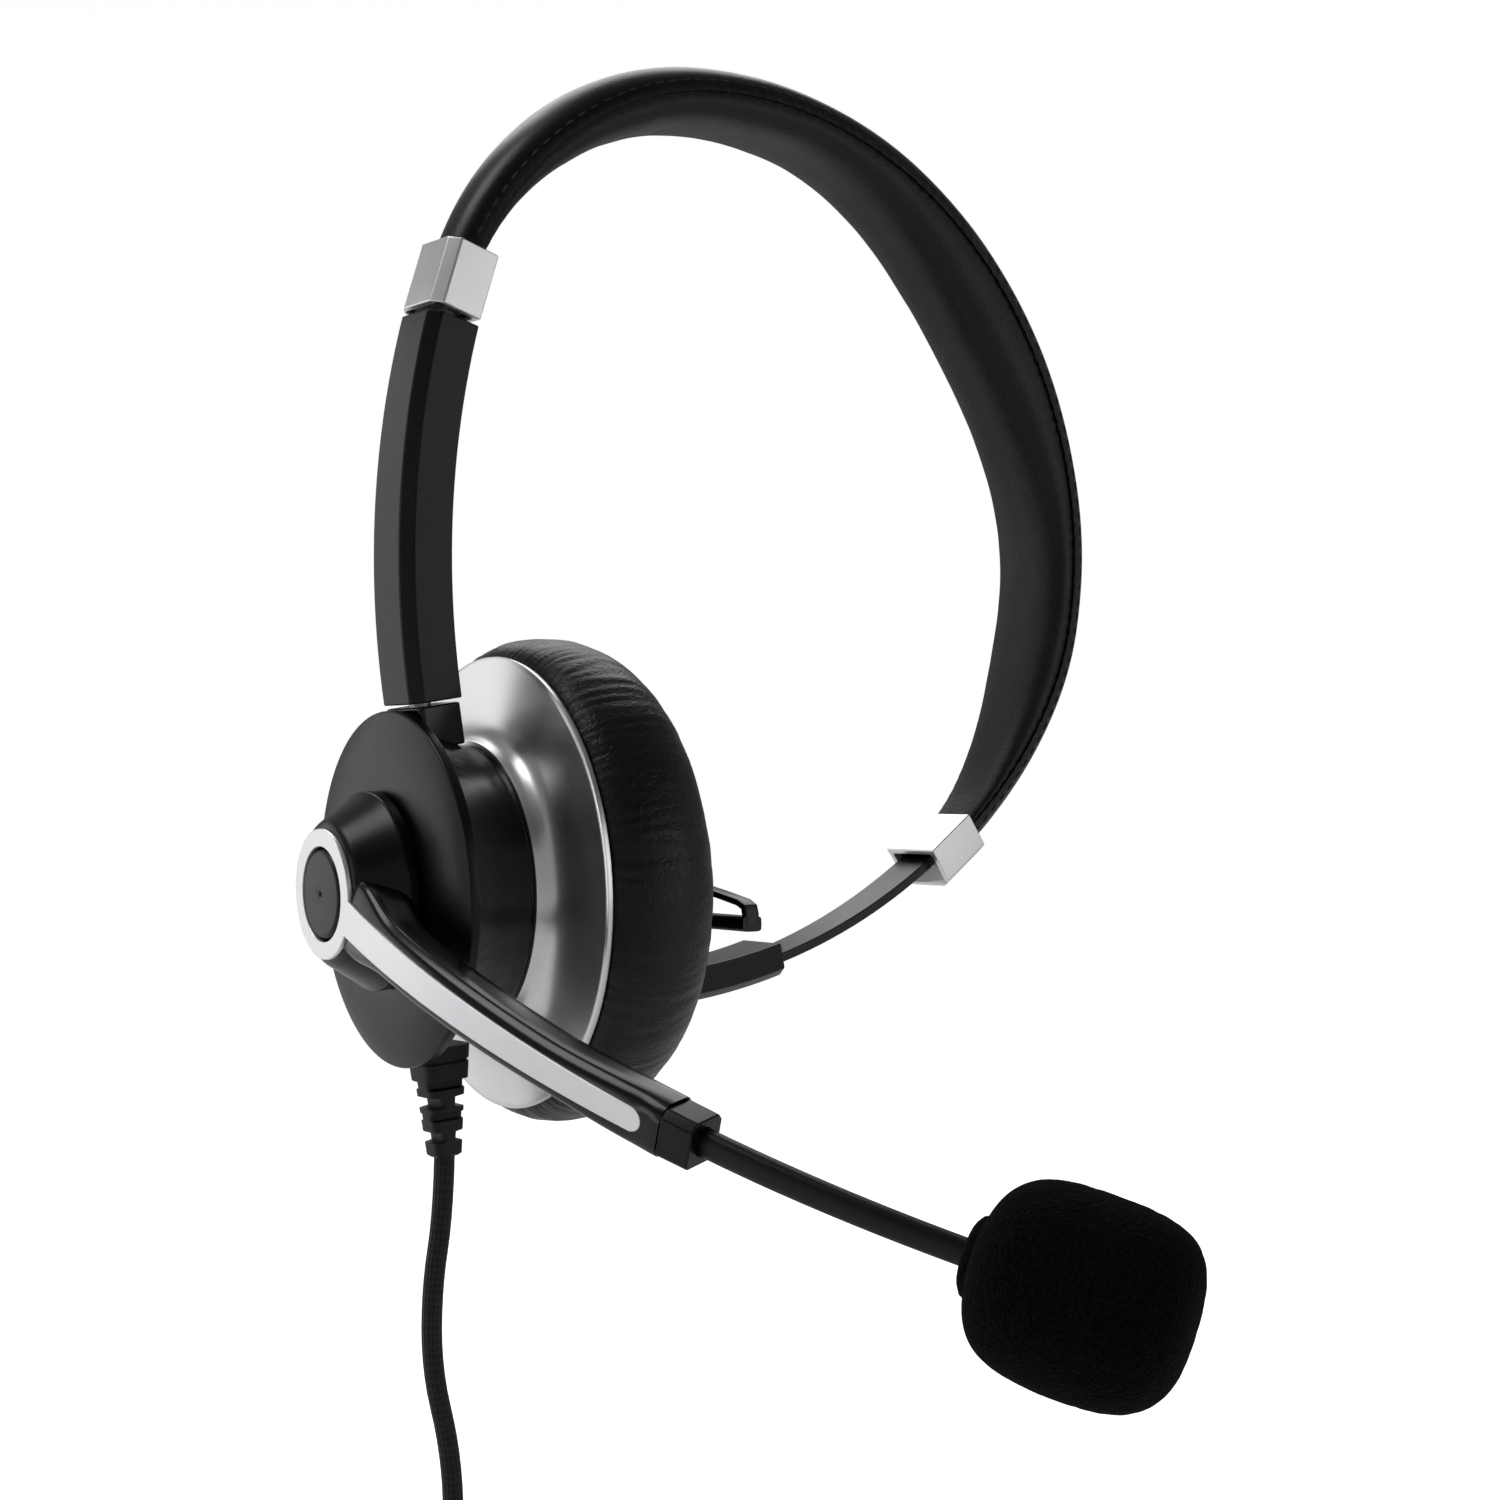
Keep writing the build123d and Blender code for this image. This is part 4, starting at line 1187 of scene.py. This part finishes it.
def yoke_frame():
    """Two triangular wings with an open middle, and the bar that joins them."""
    parts = []
    for side in (-1, 1):
        tip = side * YOKE_TIP
        top = [(side * 2.0, -1.3), (side * 5.0, -1.45), (side * 12.0, -2.6), (side * 16.4, -3.4)]
        top += [(tip * 0.985, -4.0), (tip, -4.9), (tip, YOKE_FOOT_Z)]
        low = [(side * 2.2, YOKE_FOOT_Z), (side * 9.0, YOKE_FOOT_Z), (tip + side * 0.45, YOKE_FOOT_Z)]
        post = [(side * 3.1, -7.2), (side * 3.1, -4.0), (side * 3.1, -0.9)]
        parts += [bar(top, 1.25, 0.5), bar(low, 1.6, 1.05), bar(post, 1.6, 0.9)]
    parts.append(bar([(-3.6, -1.5), (0.0, -1.3), (3.6, -1.5)], 1.6, 0.75))
    return [skin(f"yoke_part_{index}", rings) for index, rings in enumerate(parts)]


def join(name, pieces):
    """One mesh from several, in the order given."""
    bm = bmesh.new()
    for piece in pieces:
        bm.from_mesh(piece.data)
    mesh = bpy.data.meshes.new(name)
    bm.to_mesh(mesh)
    bm.free()
    for piece in pieces:
        bpy.data.objects.remove(piece)
    obj = bpy.data.objects.new(name, mesh)
    bpy.context.scene.collection.objects.link(obj)
    fix_normals(obj, 40)
    return obj


yoke = join("temple_yoke_frame", yoke_frame())
dress(yoke, BLACK, "black_plastic", "temple_rest", "temple_yoke")


# ---------------------------------------------------------------- speaker cloth
SCRIM_R = 13.7
SCRIM_TURNS_DOWN_AT = 12.0
SCRIM_RINGS = 20


def cup_ring(radius, height, count=96):
    return [CUP @ mm(radius * math.cos(a), radius * math.sin(a), height) for a in circle(count)]


rings = []
for i in range(SCRIM_RINGS):
    r = SCRIM_R * (i + 1) / SCRIM_RINGS
    edge = 0.9 * ease((r - SCRIM_TURNS_DOWN_AT) / (SCRIM_R - SCRIM_TURNS_DOWN_AT))
    rings.append(cup_ring(r, 5.1 + edge + 0.05 * math.sin(r)))
rings.append(cup_ring(SCRIM_R, 6.2))
scrim = skin("speaker_cloth_disc", rings)
fix_normals(scrim, 50)
dress(scrim, SCRIM, "foam", "ear_cup", "speaker_scrim")


# ---------------------------------------------------------------- windscreen
SCREEN_AT = 106.3
SCREEN_MOUTH = 1.2
SCREEN_LONG = 24.4
SCREEN_R = 10.7
SCREEN_POWER = 3.1
SCREEN_POINTS = 120
SCREEN_STEPS = 90
SCREEN = boom_matrix(SCREEN_AT)
# (radius, distance along) of the foam's rolled mouth
NECK_OUTLINE = ((2.1, 0.3), (3.6, 0.3), (4.3, 0.8), (4.6, 1.6), (4.6, 2.6), (4.2, 3.4), (2.1, 3.4))


def screen_point(radius, angle, along):
    return SCREEN @ mm(radius * math.cos(angle), radius * math.sin(angle), along)


def screen_ring(t):
    """Ring of the foam cover, a soft rounded box, at a share t of its length."""
    middle, radius = superellipse(math.pi * t, 1.0, SCREEN_R, SCREEN_POWER)
    along = SCREEN_MOUTH + (SCREEN_LONG - SCREEN_MOUTH) * (1 - middle) / 2
    ring = []
    for a in circle(SCREEN_POINTS):
        point = screen_point(radius, a, along)
        push = 0.22 * lumps(point, 0.007, 1.0) + 0.07 * lumps(point, 0.0011, 4.0)
        ring.append(screen_point(radius + push * ease(radius / 3), a, along + push * 0.5))
    return ring


rings = [screen_ring(0.004 + 0.992 * i / SCREEN_STEPS) for i in range(SCREEN_STEPS + 1)]
windscreen = skin("windscreen_foam_cover", rings)
fix_normals(windscreen, 60)
dress(windscreen, FOAM, "foam", "mic", "windscreen")

neck_rings = []
for radius, along in NECK_OUTLINE:
    ring = []
    for a in circle(96):
        point = screen_point(radius, a, along)
        push = 0.12 * lumps(point, 0.0013, 2.0) * (radius > 3)
        ring.append(screen_point(radius + push, a, along))
    neck_rings.append(ring)
foam_neck = skin("windscreen_foam_neck", neck_rings, caps=False, loop=True)
fix_normals(foam_neck, 80)
dress(foam_neck, FOAM, "foam", "mic")


# ---------------------------------------------------------------- bendable stem
FLEX_WIDE = 3.3
FLEX_DEEP = 2.6
FLEX_POWER = 2.4
FLEX_STEP = 0.35


def flex_ring(length):
    """Flattened round section that narrows slightly towards the microphone."""
    taper = 1 - 0.06 * ease((length - ARM_CAP_END) / 36)
    place = boom_matrix(length)
    ring = []
    for a in circle(32):
        up, out = superellipse(a, FLEX_WIDE / 2 * taper, FLEX_DEEP / 2 * taper, FLEX_POWER)
        ring.append(place @ mm(up, out, 0))
    return ring


# name, start, end, first body, second body, where the bend starts and ends, what it stands for
FLEX_PARTS = (
    ("flex_sleeve_root", 73.2, 81.6, "boom", "flex_1", 74.3, 78.1, ("flex_root", "flex_link_1")),
    ("flex_sleeve_middle", 81.6, 92.4, "flex_1", "flex_2", 84.8, 89.2, ("flex_link_2",)),
    ("flex_sleeve_mic", 92.4, 108.2, "flex_2", "mic", 95.6, 100.0, ("mic_stem",)),
)
for name, start, end, first, second, bend_from, bend_to, stood_for in FLEX_PARTS:
    count = int((end - start) / FLEX_STEP)
    sleeve = skin(name, [flex_ring(start + (end - start) * i / count) for i in range(count + 1)])
    fix_normals(sleeve, 60)
    paint(sleeve, FLEX_RUBBER)
    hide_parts(*stood_for)
    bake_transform(sleeve)


# ---------------------------------------------------------------- temple pad
PAD_Z = 0.9
PAD_BACK_X = 8.4
PAD_DEEP = 3.1
PAD_HALF_Y = 9.9
PAD_HALF_Z = 8.0
PAD_RINGS = 25


def temple_pad_ring(t):
    """Ring at a share t from the pad's back to its face, where the outline closes in."""
    if t > 0.5:
        size = 1 - 0.5 * ease(t) ** 1.5
    else:
        size = 1 - 0.16 * ease(t * 1.2)
    size *= 0.96 + 0.04 * math.sin(math.pi * min(1, t * 1.6))
    x = PAD_BACK_X - PAD_DEEP * math.sin(math.pi / 2 * t)
    ring = []
    for a in circle(72):
        y, z = superellipse(a, PAD_HALF_Y * size, PAD_HALF_Z * size, 3.0)
        point = mm(x, y, PAD_Z + z)
        ring.append(point + mm(0.12 * lumps(point, 0.004, 5.0), 0, 0))
    return ring


temple_pad = skin("temple_pad_skin", [temple_pad_ring(i / (PAD_RINGS - 1)) for i in range(PAD_RINGS)])
fix_normals(temple_pad, 60)
dress(temple_pad, PAD_LEATHER, "leather", "temple_rest", "temple_pad")


# ---------------------------------------------------------------- light and floor
LIGHT_TARGET = (0.02, 0, 0.03)
# name, place in metres, width, height or None for a square, power in watts
LIGHTS = (
    ("key", (-0.55, 0.3, 0.95), 0.5, None, 3.2),
    ("front_right", (0.6, -0.85, 0.15), 0.55, None, 0.95),
    ("back_left", (-0.5, 0.85, 0.15), 0.7, None, 1.45),
    ("back_top", (0.35, 0.55, 0.65), 0.6, None, 2.4),
    ("left_strip", (-0.9, 0.25, -0.05), 0.14, 0.8, 0.8),
)


def area_light(name, place, width, height, power):
    """Soft light that faces the headset."""
    data = bpy.data.lights.new(name, "AREA")
    data.energy = power
    data.size = width
    if height:
        data.shape = "RECTANGLE"
        data.size_y = height
    light = bpy.data.objects.new(name, data)
    light.location = place
    aim = Vector(LIGHT_TARGET) - Vector(place)
    light.rotation_euler = aim.to_track_quat("-Z", "Y").to_euler()
    bpy.context.scene.collection.objects.link(light)


for light_values in LIGHTS:
    area_light(*light_values)

# The world looks white itself, but lights the headset with a dim sky that is brightest above and behind.
SKY_TOWARDS = (0.1, 0.55, 0.83)
SKY_DARK, SKY_BRIGHT = 0.01, 0.22
world = bpy.data.worlds.new("studio")
world.use_nodes = True
bpy.context.scene.world = world
tree = world.node_tree
background = tree.nodes["Background"]
background.inputs["Color"].default_value = (1, 1, 1, 1)
rays = tree.nodes.new("ShaderNodeLightPath")
way = tree.nodes.new("ShaderNodeTexCoord")
towards = tree.nodes.new("ShaderNodeVectorMath")
towards.operation = "DOT_PRODUCT"
towards.inputs[1].default_value = SKY_TOWARDS
tree.links.new(way.outputs["Generated"], towards.inputs[0])
sky = tree.nodes.new("ShaderNodeMapRange")
sky.inputs["From Min"].default_value = -0.1
sky.inputs["From Max"].default_value = 0.9
sky.inputs["To Min"].default_value = SKY_DARK
sky.inputs["To Max"].default_value = SKY_BRIGHT
tree.links.new(towards.outputs["Value"], sky.inputs["Value"])
strength = tree.nodes.new("ShaderNodeMix")
strength.data_type = "FLOAT"
strength.inputs["B"].default_value = 1.0
tree.links.new(rays.outputs["Is Camera Ray"], strength.inputs["Factor"])
tree.links.new(sky.outputs["Result"], strength.inputs["A"])
tree.links.new(strength.outputs["Result"], background.inputs["Strength"])

# The floor is a shallow bowl, in metres, so that no horizon shows.
FLOOR_GAP = 0.001
FLOOR_HOLE = 0.02
FLOOR_FLAT = 1.9
FLOOR_RISE = 2.6
FLAT_SHARE = 0.35
FLOOR_RINGS = 70
floor_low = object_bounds()[0].z - FLOOR_GAP
floor_rings = []
for i in range(FLOOR_RINGS):
    t = i / (FLOOR_RINGS - 1)
    if t < FLAT_SHARE:
        r, h = FLOOR_HOLE + FLOOR_FLAT * t / FLAT_SHARE, 0.0
    else:
        rise = math.pi / 2 * (t - FLAT_SHARE) / (1 - FLAT_SHARE)
        r = FLOOR_HOLE + FLOOR_FLAT + FLOOR_RISE * math.sin(rise)
        h = FLOOR_RISE * (1 - math.cos(rise))
    floor_rings.append([Vector((r * math.cos(a), r * math.sin(a), floor_low + h)) for a in circle(128)])
floor = skin("floor", floor_rings, caps=False)
m = Nodes("floor_pale")
seen = m.add("LightPath").outputs["Is Camera Ray"]
m.base(m.noise(3, 2), (0.88, 0.88, 0.88), (0.90, 0.90, 0.90))
m.link(m.ramp(seen, 0.09, 0.85), m.shader.inputs["Emission Strength"])
m.set(Roughness=0.9, Specular_IOR_Level=0.1, Emission_Color=(1.0, 1.0, 1.0))
paint(floor, m.material)
bpy.context.scene.view_settings.view_transform = "Standard"
